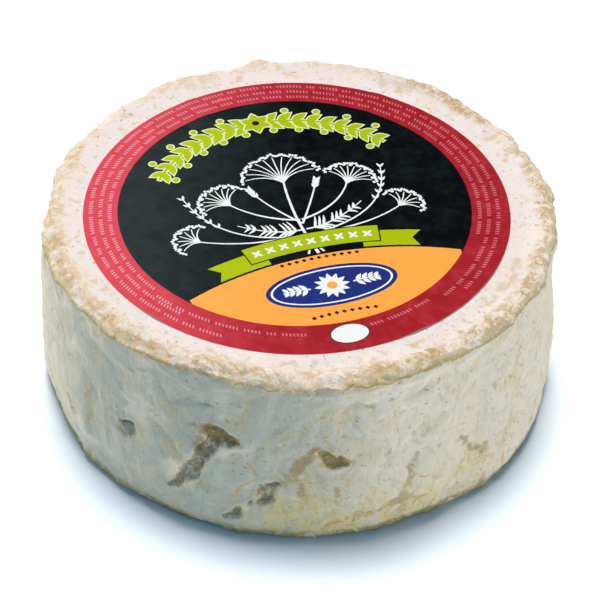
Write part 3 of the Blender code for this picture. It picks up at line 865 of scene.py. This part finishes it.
# %% Choose the stains
# Each stain is a name, its mask's sources multiplied together, its colour and its strength. A
# source is a socket, and the values of it at which the stain starts and is full.
east = spread.outputs["X"]
low = spread.outputs["Z"]
on_flank = (mask["side"], 0.0, 1.0)
off_flank = (mask["side"], 1.0, 0.0)
on_crust = (mask["rim"], 0.05, 0.5)
in_tear = (torn_mask, 0.42, 0.6)
STAINS = (
    ("thin mould of the side", [on_flank], "#E8DAC3", 1.0),
    # The grey-green is partly mould and partly painted shade: it fades out towards the far left edge
    # and the right, which stay lighter as if lit.
    ("grey-green mould and painted shade", [on_flank, (patterns["drifts"], 0.22, 0.48), (east, 34 * MM, 0 * MM),
                           (east, -86 * MM, -64 * MM)], "#BAB8A7", 0.95),
    ("bluish patches on the right", [on_flank, (patterns["clouds"], 0.56, 0.36),
                                     (east, 0 * MM, 30 * MM)], "#D0C8AE", 0.45),
    ("beige clouds", [on_flank, (patterns["clouds"], 0.50, 0.64)], "#DAC499", 0.45),
    ("white bloom", [on_flank, (patterns["mottling"], 0.50, 0.68), (east, -20 * MM, 40 * MM)],
     "#F4EADB", 0.4),
    ("tan mottling", [on_flank, (patterns["threads"], 0.54, 0.68), (patterns["clouds"], 0.42, 0.58)],
     "#C2A879", 0.5),
    # Painted shade: the hollows between the side's creases are darkened in colour.
    ("painted shade in the crease hollows", [on_flank, (mask["hollow"], 0.2, 1.0), (patterns["mottling"], 0.4, 0.6)],
     "#B3A788", 0.5),
    ("pink of the top", [off_flank, (patterns["clouds"], 0.45, 0.7)], "#EBD3C4", 0.6),
    ("tan clouds of the top", [off_flank, (patterns["mottling"], 0.55, 0.68)], "#DDC5A2", 0.5),
    ("tan dips of the top", [(mask["top dip"], 0.1, 1.0), (patterns["mottling"], 0.40, 0.62)],
     "#CFB082", 0.65),
    ("specks of the top", [off_flank, (patterns["freckles"], 0.58, 0.68)], "#DDB27E", 0.5),
    ("cream of the rim", [on_crust], "#E8DACA", 0.6),
    ("tan of the rim", [on_crust, (patterns["clouds"], 0.42, 0.60),
                        (patterns["mottling"], 0.38, 0.56)], "#D3B78E", 0.65),
    ("golden creases", [(mask["crease"], 0.12, 0.6), (patterns["clouds"], 0.35, 0.55)],
     "#C2985F", 0.65),
    ("fine creases of the rim", [(mask["rim"], 0.1, 0.5), (crumb_ridges, 0.05, 0.005)], "#D2AE74", 0.5),
    ("golden rim on the right", [on_crust, (crumb_ridges, 0.10, 0.01),
                                 (patterns["clouds"], 0.40, 0.56), (east, 10 * MM, 45 * MM)],
     "#A9844C", 0.7),
    ("tan brow of the lip", [(mask["brow"], 0.1, 0.9), (patterns["clouds"], 0.35, 0.58)],
     "#DCC9A2", 0.6),
    ("dull brow on the right", [(mask["brow"], 0.1, 0.8), (patterns["mottling"], 0.38, 0.56),
                                (east, 10 * MM, 42 * MM)], "#A99C7C", 0.7),
    ("golden lip", [(mask["lip"], 0.2, 0.95), (patterns["freckles"], 0.35, 0.5)], "#B4975A", 0.8),
    ("golden freckles", [(patterns["freckles"], 0.64, 0.70), (patterns["drifts"], 0.35, 0.55)],
     "#B89758", 0.7),
    ("pits of the top", [(mask["pit"], 0.1, 0.9)], "#CBB592", 0.6),
    ("pinholes", [(mask["pinhole"], 0.15, 0.65)], "#A6925E", 0.65),
    ("smears", [(stain_mask, 0.18, 0.85), (patterns["clouds"], 0.22, 0.42),
                (patterns["mottling"], 0.26, 0.48)], "#A08752", 0.75),
    ("torn floor", [in_tear], "#9C8E70", 0.95),
    ("olive of the torn floor", [in_tear, (stain_mask, 0.3, 0.6)], "#857243", 0.85),
    ("pale flakes of the torn floor", [(torn_mask, 0.4, 0.6), (patterns["mottling"], 0.50, 0.58),
                                       (stain_mask, 1.0, 0.3)], "#C6C1AF", 0.7),
    ("golden flakes of the torn floor", [(torn_mask, 0.4, 0.6), (patterns["mottling"], 0.52, 0.62),
                                         (stain_mask, 0.3, 0.8)], "#AD945C", 0.5),
    ("dark patches of the torn floor", [(torn_mask, 0.5, 0.7), (patterns["clouds"], 0.46, 0.38)],
     "#6C5F3E", 0.55),
    # Painted shade: dark lines along the crumbs' fine creases on the torn floor.
    ("painted shade in the torn floor's creases", [(torn_mask, 0.5, 0.7), (crumb_ridges, 0.03, 0.0)],
     "#584B2D", 0.6),
    ("fresh white mould", [(fresh_mask, 0.1, 0.95)], "#DCD8C2", 0.4),
    ("golden curled edges", [on_flank, (mask["curl"], 0.4, 1.0), (patterns["freckles"], 0.46, 0.58)],
     "#EAD3A0", 0.75),
    ("olive wash", [(low, 34.0 * MM, 7.0 * MM), (patterns["clouds"], 0.32, 0.56),
                    (patterns["threads"], 0.30, 0.55), (east, -26 * MM, 0 * MM),
                    (east, 78 * MM, 36 * MM)], "#DDC98A", 0.8),
    ("golden cracks near the foot", [on_flank, (low, 32.0 * MM, 12.0 * MM), (crumb_ridges, 0.035, 0.0),
                                     (patterns["clouds"], 0.44, 0.58), (east, -24 * MM, 6 * MM)],
     "#A98648", 0.6),
    ("golden streaks", [on_flank, (mask["streak"], 0.44, 0.60), (patterns["freckles"], 0.40, 0.54)],
     "#D29C4C", 0.75),
    ("olive foot", [(mask["foot"], 0.1, 0.9), (patterns["mottling"], 0.34, 0.52)], "#948651", 0.85),
    ("dark of the foot", [(low, 3.0 * MM, 0.6 * MM), (patterns["mottling"], 0.34, 0.50)],
     "#6B5E35", 0.8),
)
print("stains on the rind:", len(STAINS))

# %% Lay the stains
colour = linear("#E3D6D0")
for name, sources, stain, strength in STAINS:
    amount = strength
    for source, start, full in sources:
        part = add_node(tree, "ShaderNodeMapRange", {0: source, 1: start, 2: full, 3: 0.0, 4: 1.0},
                        interpolation_type="SMOOTHSTEP")
        amount = add_node(tree, "ShaderNodeMath", {0: part.outputs[0], 1: amount},
                          operation="MULTIPLY").outputs[0]
    layer = add_node(tree, "ShaderNodeMix", {0: amount, 6: colour, 7: linear(stain)},
                     data_type="RGBA", label=name)
    colour = layer.outputs[2]
tree.links.new(colour, shader.inputs["Base Color"])
print("nodes with the stains:", len(tree.nodes))

# %% [markdown]
# Relief finer than the mesh is bump: the grain of the coat, freckles a third of a millimetre
# deep, upright wrinkles, and creases between the smallest crumbs of the rim. The gloss
# changes a little with the clouds, as damp mould is smoother.

# %% Gloss and fine bumps
roughness = add_node(tree, "ShaderNodeMapRange",
                     {0: patterns["clouds"], 1: 0.3, 2: 0.7, 3: 0.72, 4: 0.9})
tree.links.new(roughness.outputs[0], shader.inputs["Roughness"])
fine = add_node(tree, "ShaderNodeBump", {"Strength": 0.5, "Distance": 0.12 * MM,
                                         "Height": patterns["grain"]})
coarse = add_node(tree, "ShaderNodeBump", {"Strength": 0.6, "Distance": 0.35 * MM,
                                           "Height": patterns["freckles"],
                                           "Normal": fine.outputs[0]})
wrinkles = add_node(tree, "ShaderNodeBump", {"Strength": 0.6, "Distance": 0.6 * MM,
                                             "Height": patterns["threads"],
                                             "Normal": coarse.outputs[0]})
rim_ridges = add_node(tree, "ShaderNodeMath", {0: crumb_ridges, 1: mask["rim"]}, operation="MULTIPLY")
crumbly = add_node(tree, "ShaderNodeBump", {"Strength": 0.8, "Distance": 1.8 * MM,
                                            "Height": rim_ridges.outputs[0],
                                            "Normal": wrinkles.outputs[0]})
tree.links.new(crumbly.outputs[0], shader.inputs["Normal"])
rind_mesh.materials.append(bloom)
print("nodes in the finish:", len(tree.nodes))

# %% [markdown]
# ## The label's paper
#
# The label is a disc of coated paper, 140 mm across, laid by hand: it sits a little off the
# wheel's centre, and its print a little off the paper's. The print is made of plain shapes,
# each an outline in millimetres with an ink, in the order in which they are laid down. The
# outlines are in the print's own axes, with v pointing to the print's head. The whole print
# is then turned on the wheel.

# %% The print's axes
LABEL_RADIUS = 70.0
LABEL_CENTRE = np.array([-1.1, -0.3])
PRINT_OFFSET = np.array([-0.7, 0.9])
PRINT_TURN = 17.6
FIELD_RADIUS = 58.1
prints = []
print("label across in mm:", 2 * LABEL_RADIUS)

# %% Basic shapes
def lay(ink, outline):
    """Lays a shape on the print, in its own axes and in millimetres, over what is there."""
    outline = np.asarray(outline, float)
    ahead = np.roll(outline, -1, axis=0)
    area = (outline[:, 0] * ahead[:, 1] - outline[:, 1] * ahead[:, 0]).sum()
    prints.append((ink, outline if area > 0 else outline[::-1]))


def round_points(count, start=0.0, end=360.0, closed=True):
    """Unit vectors at even turns from start to end, in degrees."""
    turns = np.radians(np.linspace(start, end, count, endpoint=not closed))
    return np.stack([np.cos(turns), np.sin(turns)], 1)


def heading(turn):
    """The unit vector at a turn in degrees."""
    return round_points(1, turn, 0)[0]


def oval(centre, half_width, half_height, lean=0.0, count=32):
    """An oval's outline, leaning by an angle in degrees."""
    points = round_points(count) * np.array([half_width, half_height])
    return turned_by(points, lean) + np.asarray(centre, float)


def turned_by(points, degrees):
    """Points turned about the origin."""
    cos, sin = math.cos(math.radians(degrees)), math.sin(math.radians(degrees))
    return np.asarray(points) @ np.array([[cos, sin], [-sin, cos]])


def leaf(start, direction, length, width, count=9):
    """A pointed leaf from its stalk's end, growing in a direction in degrees."""
    share = np.linspace(0.0, 1.0, count)
    bulge = width / 2 * np.sin(np.pi * share ** 0.85)
    edge = np.stack([share * length, bulge], 1)
    back = np.stack([share * length, -bulge], 1)[1:-1][::-1]
    return turned_by(np.concatenate([edge, back]), direction) + np.asarray(start, float)


def stroke(points, widths):
    """The outline of a brush stroke along points, as wide as widths at each of them."""
    points = np.asarray(points, float)
    along = np.gradient(points, axis=0)
    along /= np.linalg.norm(along, axis=1)[:, None]
    beside = np.stack([-along[:, 1], along[:, 0]], 1) * np.asarray(widths)[:, None] / 2
    return np.concatenate([points + beside, (points - beside)[::-1]])


def curve(corners, count=14):
    """Points along a smooth curve that starts and ends at its first and last corner."""
    corners = np.asarray(corners, float)
    points = []
    for share in np.linspace(0.0, 1.0, count):
        level = corners
        while len(level) > 1:
            level = level[:-1] * (1.0 - share) + level[1:] * share
        points.append(level[0])
    return np.array(points)


print("corners of a plain oval:", len(oval((0.0, 0.0), 1.0, 1.0)))

# %% [markdown]
# ### Ring, field and segment
#
# A red ring runs round a near-black field, and an orange segment fills the field's foot
# under a shallow arc. The arc's circle follows from the segment's width and rise.

# %% Lay the large fields
SEGMENT_CORNER = np.array([44.9, -35.6])
SEGMENT_RISE = 10.2

lay("red", round_points(300) * (LABEL_RADIUS + 3.0))
lay("black", round_points(220) * FIELD_RADIUS)

half_chord = SEGMENT_CORNER[0]
arc_radius = (half_chord ** 2 + SEGMENT_RISE ** 2) / (2 * SEGMENT_RISE)
arc_centre = np.array([0.0, SEGMENT_CORNER[1] + SEGMENT_RISE - arc_radius])
arc_half = math.degrees(math.asin(half_chord / arc_radius))
corner_turn = math.degrees(math.atan2(SEGMENT_CORNER[1], SEGMENT_CORNER[0]))
upper = arc_centre + arc_radius * round_points(50, 90 + arc_half, 90 - arc_half, closed=False)
lower = (FIELD_RADIUS - 0.02) * round_points(70, corner_turn, -180 - corner_turn, closed=False)
lay("orange", np.concatenate([upper, lower[1:-1]]))
print("arc over the orange segment, radius in mm:", round(arc_radius, 1))

# %% [markdown]
# ### The rows round the ring
#
# Three rows of slanting stitches run round the ring, like the whipping on a hem, and shorter
# rows finish them near the foot. The stitches are about a millimetre high and apart, and
# stand in small groups, so that they read as a fine, broken pink texture.

# %% Rows of slanting stitches
# Each row is a radius and, in degrees, a first and a last azimuth on the wheel.
STITCH_ROWS = (
    (66.8, -36.0, 248.0),
    (63.7, -42.0, 236.0),
    (60.7, -12.0, 222.0),
    (62.2, 227.0, 268.0),
    (61.6, 293.0, 312.0),
)
STITCH_PITCH = 1.15
STITCH_HEIGHT = 1.25
STITCH_WIDTH = 0.55
STITCH_SLANT = 0.35
STITCH_GAP = 1.3
STITCH_CORNERS = ((-0.5, 0.0), (0.5, STITCH_SLANT), (0.5, STITCH_SLANT + STITCH_WIDTH),
                  (-0.5, STITCH_WIDTH))

for row_radius, first, last in STITCH_ROWS:
    degrees_per_mm = math.degrees(1.0 / row_radius)
    turn = first
    while turn < last:
        for stitch in range(draw.integers(3, 9)):
            corners = [heading(turn + along * degrees_per_mm) * (row_radius + rise * STITCH_HEIGHT)
                       for rise, along in STITCH_CORNERS]
            lay("pink", turned_by(corners, -PRINT_TURN))
            turn += STITCH_PITCH * degrees_per_mm
        turn += STITCH_GAP * degrees_per_mm
print("print shapes so far:", len(prints))

# %% [markdown]
# ### The garland
#
# A garland of leaves and berries spans the head of the field, yellow-green with a pale edging.
# Each leaf is laid twice: a larger pale one first, then the green one. All the pale shapes go
# down before the green ones, so that the edging never cuts into a neighbour.

# %% Leaf, berry and band
GARLAND_RADIUS = 47.0
GARLAND_HALF_ANGLE = 54.0
GARLAND_MIDDLE = 90.0
GARLAND_PAIRS = 9
EDGING = 0.5


def garland_leaf(start, direction, length, width, edge):
    """A pointed leaf, grown on all sides by an edging."""
    root = np.asarray(start) - heading(direction) * edge * 1.3
    return leaf(root, direction, length + edge * 2.9, width + edge * 2)


def berry(centre, size, edge):
    """A round berry, grown on all sides by an edging."""
    return oval(centre, size + edge, size + edge, count=18)


def arc_band(centre, middle, inner, outer, first, last, count, edge):
    """A band along an arc between two radii, grown on all sides by an edging."""
    grow = math.degrees(edge / middle)
    low_arc = round_points(count, first - grow, last + grow, closed=False) * (inner - edge)
    high_arc = round_points(count, last + grow, first - grow, closed=False) * (outer + edge)
    return np.concatenate([low_arc, high_arc]) + np.asarray(centre, float)


print("pairs of leaves on each side:", GARLAND_PAIRS)

# %% Lay the garland
pieces = []
for side in (-1, 1):
    for pair in range(GARLAND_PAIRS):
        offset = (pair + 0.62) * GARLAND_HALF_ANGLE / GARLAND_PAIRS
        turn = GARLAND_MIDDLE + side * offset
        spot = heading(turn) * GARLAND_RADIUS
        growth = turn + side * 90.0
        taper = 1.0 - 0.25 * pair / GARLAND_PAIRS
        for lean, reach in ((40.0, 7.4), (-40.0, 6.6)):
            pieces.append((garland_leaf, spot, growth + side * lean, reach * taper, 3.1 * taper))
        outside = heading(turn + side * 3.0)
        pieces.append((berry, outside * (GARLAND_RADIUS + (5.6 if pair % 2 else -5.2)), 1.05))
stem_half = GARLAND_HALF_ANGLE + 3.0
pieces.append((arc_band, (0, 0), GARLAND_RADIUS, GARLAND_RADIUS - 0.45, GARLAND_RADIUS + 0.45,
               GARLAND_MIDDLE - stem_half, GARLAND_MIDDLE + stem_half, 60))
for make, *sizes in pieces:
    lay("pale", make(*sizes, EDGING))
for make, *sizes in pieces:
    lay("green", make(*sizes, 0.0))

flower_centre = heading(GARLAND_MIDDLE) * GARLAND_RADIUS
for ink, grow in (("pale", EDGING), ("green", 0.0)):
    for petal in range(6):
        direction = GARLAND_MIDDLE + petal * 60.0
        lay(ink, garland_leaf(flower_centre, direction, 5.4, 3.4, grow))
lay("black", oval(flower_centre, 1.3, 1.3, count=16))
print("print shapes so far:", len(prints))

# %% [markdown]
# ### The sprig
#
# In the middle of the field stands a bunch of cow parsley and grasses, drawn in white line:
# stems, rays that fan out to tufts of florets, feathery leaves and seed heads. The two halves
# share their curves and differ by a little random draw, as in a drawing by hand.

# %% Stems, umbels, feathers and grass
FLORET = (0.62, 0.5)


def stem(corners, thick, thin):
    """A stem that tapers along its curve."""
    points = curve(corners)
    lay("white", stroke(points, np.linspace(thick, thin, len(points))))
    return points


def umbel(centre, direction, reach, rays, spread_angle):
    """Rays fanning out from a stem's end, each with a tuft of florets."""
    for ray in range(rays):
        share = ray / (rays - 1) - 0.5
        turn = direction + share * spread_angle
        length = reach * (1.0 - 0.35 * share * share)
        tip = np.asarray(centre) + heading(turn) * length
        bend_turn = direction + share * spread_angle * 0.5
        bend = np.asarray(centre) + heading(bend_turn) * length * 0.55
        stem([centre, bend, tip], 0.55, 0.35)
        for floret in range(5):
            floret_turn = turn - 70.0 + floret * 35.0
            spot = tip + heading(floret_turn) * draw.uniform(1.1, 1.9)
            lay("white", oval(spot, *FLORET, lean=floret_turn, count=8))


def feather(corners, leaflets, reach):
    """A feathery leaf: leaflets on both sides of a rib."""
    rib = stem(corners, 0.7, 0.35)
    for step in range(leaflets):
        spot = rib[2 + step * (len(rib) - 3) // leaflets]
        ahead = rib[-1] - rib[0]
        direction = math.degrees(math.atan2(ahead[1], ahead[0]))
        size = reach * (1.0 - 0.6 * step / leaflets)
        for lean in (52.0, -52.0):
            tip = spot + heading(direction + lean) * size
            lay("white", stroke(curve([spot, (spot + tip) / 2 + 0.4, tip], 5),
                                [0.75, 0.95, 0.8, 0.55, 0.25]))


def grass(corners, seeds):
    """A blade of grass with a seed head: pairs of slim seeds along its end."""
    blade = stem(corners, 0.75, 0.4)
    for step in range(seeds):
        spot = blade[-1 - step]
        ahead = blade[-1] - blade[-4]
        direction = math.degrees(math.atan2(ahead[1], ahead[0]))
        for lean in (28.0, -28.0):
            lay("white", leaf(spot, direction + lean, 2.6, 0.9, 6))


print("floret across in mm:", 2 * FLORET[0])

# %% Draw the sprig
def mirrored(side, corners):
    """The corners of a curve on one side of the sprig's middle, each a little astray."""
    astray = draw.normal(0.0, 0.5, (len(corners), 2))
    astray[0] = 0.0
    return np.array(corners) * np.array([side, 1.0]) + astray


stem([(0.6, -24.6), (-2.5, -6.0), (0.0, 13.0)], 1.1, 0.7)
umbel((0.0, 13.0), 90.0, 14.0, 11, 140.0)
for side in (-1, 1):
    middle_stem = stem(mirrored(side, [(0.3, -7.0), (13.0, -4.0), (20.0, 7.0)]), 0.85, 0.55)
    umbel(middle_stem[-1], 90.0 - side * 34.0, 9.5, 9, 120.0)
    outer_stem = stem(mirrored(side, [(0.4, -14.5), (20.0, -16.0), (33.5, -9.0)]), 0.8, 0.5)
    umbel(outer_stem[-1], 90.0 - side * 52.0, 7.5, 7, 125.0)
    grass(mirrored(side, [(0.2, -15.0), (29.0, -13.0), (33.5, 13.0)]), 6)
    grass(mirrored(side, [(0.0, -9.0), (9.0, 4.0), (11.5, 12.0)]), 4)
    feather(mirrored(side, [(0.3, -12.0), (10.0, -12.5), (21.0, -4.0)]), 8, 5.5)
    stem([(0.0, -15.0), (side * 0.8, -20.0), (side * 2.6, -24.2)], 1.0, 0.7)
print("print shapes so far:", len(prints))

# %% [markdown]
# ### The ribbon
#
# A green ribbon with swallow-tails ties the sprig and follows the segment's arc, with a row
# of small crosses on it. Its ends are folded back under it, with a dark line along each fold.
# The tails are laid first and the ribbon over them, as a real one would lie.

# %% Ribbon
RIBBON_MIDDLE = 111.2
RIBBON_WIDTH = 7.6
RIBBON_HALF_TURN = 11.5
TAIL_DROP = 2.6
# The tails lie under the ribbon from the first to the second turn off its middle, in degrees.
TAIL_TURNS = (8.5, 18.5)
TAIL_NOTCH = 1.4
FOLD_LINE = 0.45
CROSSES = 9
CROSS_PITCH = 2.4


def ribbon_end(side):
    """A ribbon's tail under one end, with a notch cut into it."""
    near, far = 90.0 - side * TAIL_TURNS[0], 90.0 - side * TAIL_TURNS[1]
    middle = RIBBON_MIDDLE - TAIL_DROP
    low_edge = round_points(8, near, far, closed=False) * (middle - RIBBON_WIDTH / 2)
    high_edge = round_points(8, far, near, closed=False) * (middle + RIBBON_WIDTH / 2)
    notch = round_points(1, far + side * TAIL_NOTCH, 0) * middle
    return np.concatenate([low_edge, notch, high_edge]) + arc_centre


half_ribbon = RIBBON_WIDTH / 2
ribbon_turns = (90.0 - RIBBON_HALF_TURN, 90.0 + RIBBON_HALF_TURN)
for side in (-1, 1):
    lay("green", ribbon_end(side))
for ink, grow in (("black", FOLD_LINE), ("green", 0.0)):
    lay(ink, arc_band(arc_centre, RIBBON_MIDDLE, RIBBON_MIDDLE - half_ribbon,
                      RIBBON_MIDDLE + half_ribbon, *ribbon_turns, 30, grow))
for step in range(CROSSES):
    turn = 90.0 + (step - (CROSSES - 1) // 2) * CROSS_PITCH
    spot = arc_centre + RIBBON_MIDDLE * heading(turn)
    for direction in range(4):
        lay("white", leaf(spot, turn + 45.0 + direction * 90.0, 2.1, 1.0, 6))
print("print shapes so far:", len(prints))

# %% [markdown]
# ### The medallion and the small things
#
# On the segment lies a blue medallion with a white daisy between two twigs, with a row of dark
# lozenges above it and one below. A plain white oval sits on the ring.

# %% Medallion
MEDALLION = np.array([0.0, -40.6])
MEDALLION_OVALS = (("blue", 21.5, 9.3), ("white", 20.0, 8.1), ("blue", 19.3, 7.5))
DAISY_PETALS = 12
for ink, half_width, half_height in MEDALLION_OVALS:
    lay(ink, oval(MEDALLION, half_width, half_height, count=72))
for petal in range(DAISY_PETALS):
    direction = petal * 360.0 / DAISY_PETALS
    lay("white", leaf(MEDALLION + heading(direction) * 1.2, direction, 4.6, 1.9))
lay("orange", oval(MEDALLION, 1.7, 1.7, count=18))
for side in (-1, 1):
    rib = MEDALLION + np.array([[7.0, 0.0], [12.0, 0.8], [16.0, 0.0]]) * np.array([side, 1.0])
    lay("white", stroke(curve(rib, 10), np.linspace(0.6, 0.4, 10)))
    for step in range(4):
        spot = curve(rib, 10)[1 + 2 * step]
        for lean in (50.0, -50.0):
            direction = lean if side > 0 else 180.0 - lean
            lay("white", leaf(spot, direction, 3.6 - 0.35 * step, 1.5))
print("print shapes so far:", len(prints))

# %% Lozenges and the plain oval
# Each row of lozenges is a distance from the arc's centre and a count.
LOZENGE_ROWS = ((102.6, 11), (76.0, 9))
LOZENGE_PITCH = 2.5
LOZENGE = 0.85
for row_radius, count in LOZENGE_ROWS:
    for step in range(count):
        turn = 90.0 + (step - (count - 1) / 2) * math.degrees(LOZENGE_PITCH / row_radius)
        spot = arc_centre + row_radius * heading(turn)
        lay("brown", spot + LOZENGE * round_points(4))

PLAIN_OVAL = (-1.5, -63.4)
for ink, half_width, half_height in (("brown", 6.3, 4.4), ("white", 5.95, 4.05)):
    lay(ink, oval(PLAIN_OVAL, half_width, half_height, count=40))
print("print shapes:", len(prints))

# %% [markdown]
# ### Cut the print into faces
#
# A constrained Delaunay triangulation takes every outline at once and gives triangles that
# never cross one, with the list of outlines round each. The last outline laid is the ink that
# shows. Extra points every 2.5 mm let the paper bend.

# %% Triangulate the printed face
BEND_GRID = 2.5

# The red ring runs out to the paper's edge, so the paper's own outline stands in for it.
outline_points = [LABEL_RADIUS * round_points(360)]
for ink, outline in prints[1:]:
    outline_points.append(turned_by(outline, PRINT_TURN) + PRINT_OFFSET)
inks = [ink for ink, outline in prints]

corners = []
shapes = []
for outline in outline_points:
    shapes.append(list(range(len(corners), len(corners) + len(outline))))
    corners += outline.tolist()
spots = np.arange(-LABEL_RADIUS, LABEL_RADIUS, BEND_GRID)
for row, v in enumerate(spots):
    for u in spots + (row % 2) * BEND_GRID / 2:
        if math.hypot(u, v) < LABEL_RADIUS - 1.0:
            corners.append([u, v])
cut = delaunay_2d_cdt([Vector(corner) for corner in corners], [], shapes, 1, 1e-5)
flat_points, flat_faces, face_shapes = np.array(cut[0]), cut[2], cut[5]
print("label triangles:", len(flat_faces))

# %% [markdown]
# ### Lay the paper on the cheese
#
# The paper follows the waves of the top and has a fine ripple of its own. Its edge has
# come away a little in three places at the front, and three low folds run in from it. Solidify
# gives it the thickness of paper, and its back and edge are unprinted.

# %% Bend the paper
PAPER_CLEARANCE = 0.15 * MM
PAPER_HEIGHT = TOP_HEIGHT + BLOOM_UNDER_LABEL + PAPER_CLEARANCE
PAPER_THICKNESS = 0.14 * MM
PAPER_RIPPLE = 0.07 * MM
PAPER_RIPPLE_SIZE = 8.0 * MM
LIFT_WIDTH = 5.0
# Each lifted edge is an azimuth, half its width in degrees and how far it lifts.
LIFTED_EDGES = ((-128.0, 6.0, 0.5 * MM), (-57.0, 7.0, 0.6 * MM), (-30.0, 34.0, 0.5 * MM))
# Each fold is an azimuth, how far in from the edge it runs, half its width and its height.
PAPER_FOLDS = ((124.0, 26.0, 2.6, 0.3 * MM), (66.0, 22.0, 2.6, 0.3 * MM), (-20.0, 16.0, 2.6, 0.2 * MM))

label_points = np.zeros((len(flat_points), 3))
label_points[:, :2] = (flat_points + LABEL_CENTRE) * MM
paper_height = PAPER_HEIGHT + top_wave(label_points)
paper_height += PAPER_RIPPLE * wander(label_points, PAPER_RIPPLE_SIZE, SEED + 51.0)
edge = np.linalg.norm(flat_points, axis=1)
edge_turn = np.arctan2(flat_points[:, 1], flat_points[:, 0])
for centre, half_width, lift in LIFTED_EDGES:
    near = 1.0 - blend(np.abs(degrees_apart(edge_turn, centre)), 0.0, half_width)
    paper_height += lift * near * blend(edge, LABEL_RADIUS - LIFT_WIDTH, LABEL_RADIUS)
for centre, reach_in, half_width, rise in PAPER_FOLDS:
    beside = np.radians(degrees_apart(edge_turn, centre)) * edge
    along = blend(edge, LABEL_RADIUS - reach_in, LABEL_RADIUS - 0.4 * reach_in)
    paper_height += rise * along * np.exp(-(beside / half_width) ** 2) * (edge > 1.0)
label_points[:, 2] = paper_height
print("paper rises and falls by mm:", round(float(np.ptp(paper_height) * 1000), 2))

# %% Make the label's mesh
label_mesh = bpy.data.meshes.new("printed_label")
label_mesh.from_pydata(label_points.tolist(), [], flat_faces)
ink_names = list(dict.fromkeys(inks))
ink_of_shape = [ink_names.index(ink) for ink in inks]
label_mesh.polygons.foreach_set("material_index", [ink_of_shape[max(s)] for s in face_shapes])
label_mesh.shade_smooth()
ends = np.array([line.vertices[:] for line in label_mesh.edges])
on_border = edge >= LABEL_RADIUS - 0.01
sharp = label_mesh.attributes.new("sharp_edge", "BOOLEAN", "EDGE")
sharp.data.foreach_set("value", on_border[ends[:, 0]] & on_border[ends[:, 1]])
label = new_object("printed_label", label_mesh)
print("inks:", ", ".join(ink_names))

# %% [markdown]
# ## The finish of the label
#
# Wet-glued label paper, offset printed and varnished to a satin gloss. The softbox behind
# lifts its left side, and a paler colour of each ink there is a painted sheen for the veil that
# the lamp lays over the print. Over the paper's bumps this painted sheen is mottled. All inks
# share one recipe and differ by their colours.

# %% Inks
# Each ink is its colour away from the lamp and its paler colour towards the lamp.
INKS = {
    "red": ("#9B1E26", "#D64854"),
    "black": ("#080A0A", "#2B3232"),
    "orange": ("#FA9F45", "#FFAA50"),
    "pink": ("#C26770", "#DA97A3"),
    "pale": ("#D5DCA2", "#DDE4AC"),
    "green": ("#A3B20C", "#AFBE16"),
    "white": ("#E4E5E1", "#EAEBE7"),
    "blue": ("#202D70", "#2C3A84"),
    "brown": ("#33241A", "#3B2A1E"),
}


def varnished_ink(name, colour, paler):
    """One offset ink on coated paper under satin varnish, with a painted sheen that is paler towards
    the lamp and mottled over the paper's bumps.
    """
    material, tree, shader = new_material(name, Roughness=0.24, IOR=1.45)
    place = add_node(tree, "ShaderNodeTexCoord").outputs["Object"]
    west = add_node(tree, "ShaderNodeSeparateXYZ", {0: place}).outputs["X"]
    bumps = add_node(tree, "ShaderNodeTexNoise", {"Vector": place, "Detail": 4.0,
                                                  "Scale": 1.0 / (5.0 * MM), "Roughness": 0.6})
    fibres = add_node(tree, "ShaderNodeTexNoise", {"Vector": place, "Detail": 2.0,
                                                   "Scale": 1.0 / (0.8 * MM)})
    lit = add_node(tree, "ShaderNodeMapRange", {0: west, 1: 10.0 * MM, 2: -68.0 * MM, 3: 0.0, 4: 1.0},
                   interpolation_type="SMOOTHSTEP").outputs[0]
    # Painted sheen: over the paper's bumps the colour moves towards the paler lamp-side ink.
    sheen_mottle = add_node(tree, "ShaderNodeMapRange",
                      {0: bumps.outputs["Fac"], 1: 0.3, 2: 0.7, 3: -0.12, 4: 0.22}).outputs[0]
    share = add_node(tree, "ShaderNodeMath", {0: lit, 1: sheen_mottle}, operation="ADD", use_clamp=True)
    mixed = add_node(tree, "ShaderNodeMix", {0: share.outputs[0], 6: linear(colour), 7: linear(paler)},
                     data_type="RGBA")
    tree.links.new(mixed.outputs[2], shader.inputs["Base Color"])
    gloss = add_node(tree, "ShaderNodeMapRange",
                     {0: bumps.outputs["Fac"], 1: 0.3, 2: 0.7, 3: 0.19, 4: 0.28})
    tree.links.new(gloss.outputs[0], shader.inputs["Roughness"])
    fine = add_node(tree, "ShaderNodeBump", {"Strength": 0.3, "Distance": 0.05 * MM,
                                             "Height": fibres.outputs["Fac"]})
    broad = add_node(tree, "ShaderNodeBump", {"Strength": 0.5, "Distance": 0.25 * MM,
                                              "Height": bumps.outputs["Fac"],
                                              "Normal": fine.outputs[0]})
    tree.links.new(broad.outputs[0], shader.inputs["Normal"])
    return material


print("inks mixed:", len(INKS))

# %% Print the label and make it thick
for ink in ink_names:
    label_mesh.materials.append(varnished_ink("offset_ink_" + ink, *INKS[ink]))
label_mesh.materials.append(varnished_ink("bare_label_paper", "#DDD5C6", "#E8E2D6"))

thickness = label.modifiers.new("Thickness", "SOLIDIFY")
thickness.thickness = PAPER_THICKNESS
thickness.offset = -1.0
thickness.material_offset = len(ink_names)
thickness.material_offset_rim = len(ink_names)

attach(label, "root")
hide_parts("paper_label")
print("materials on the label:", len(label_mesh.materials))
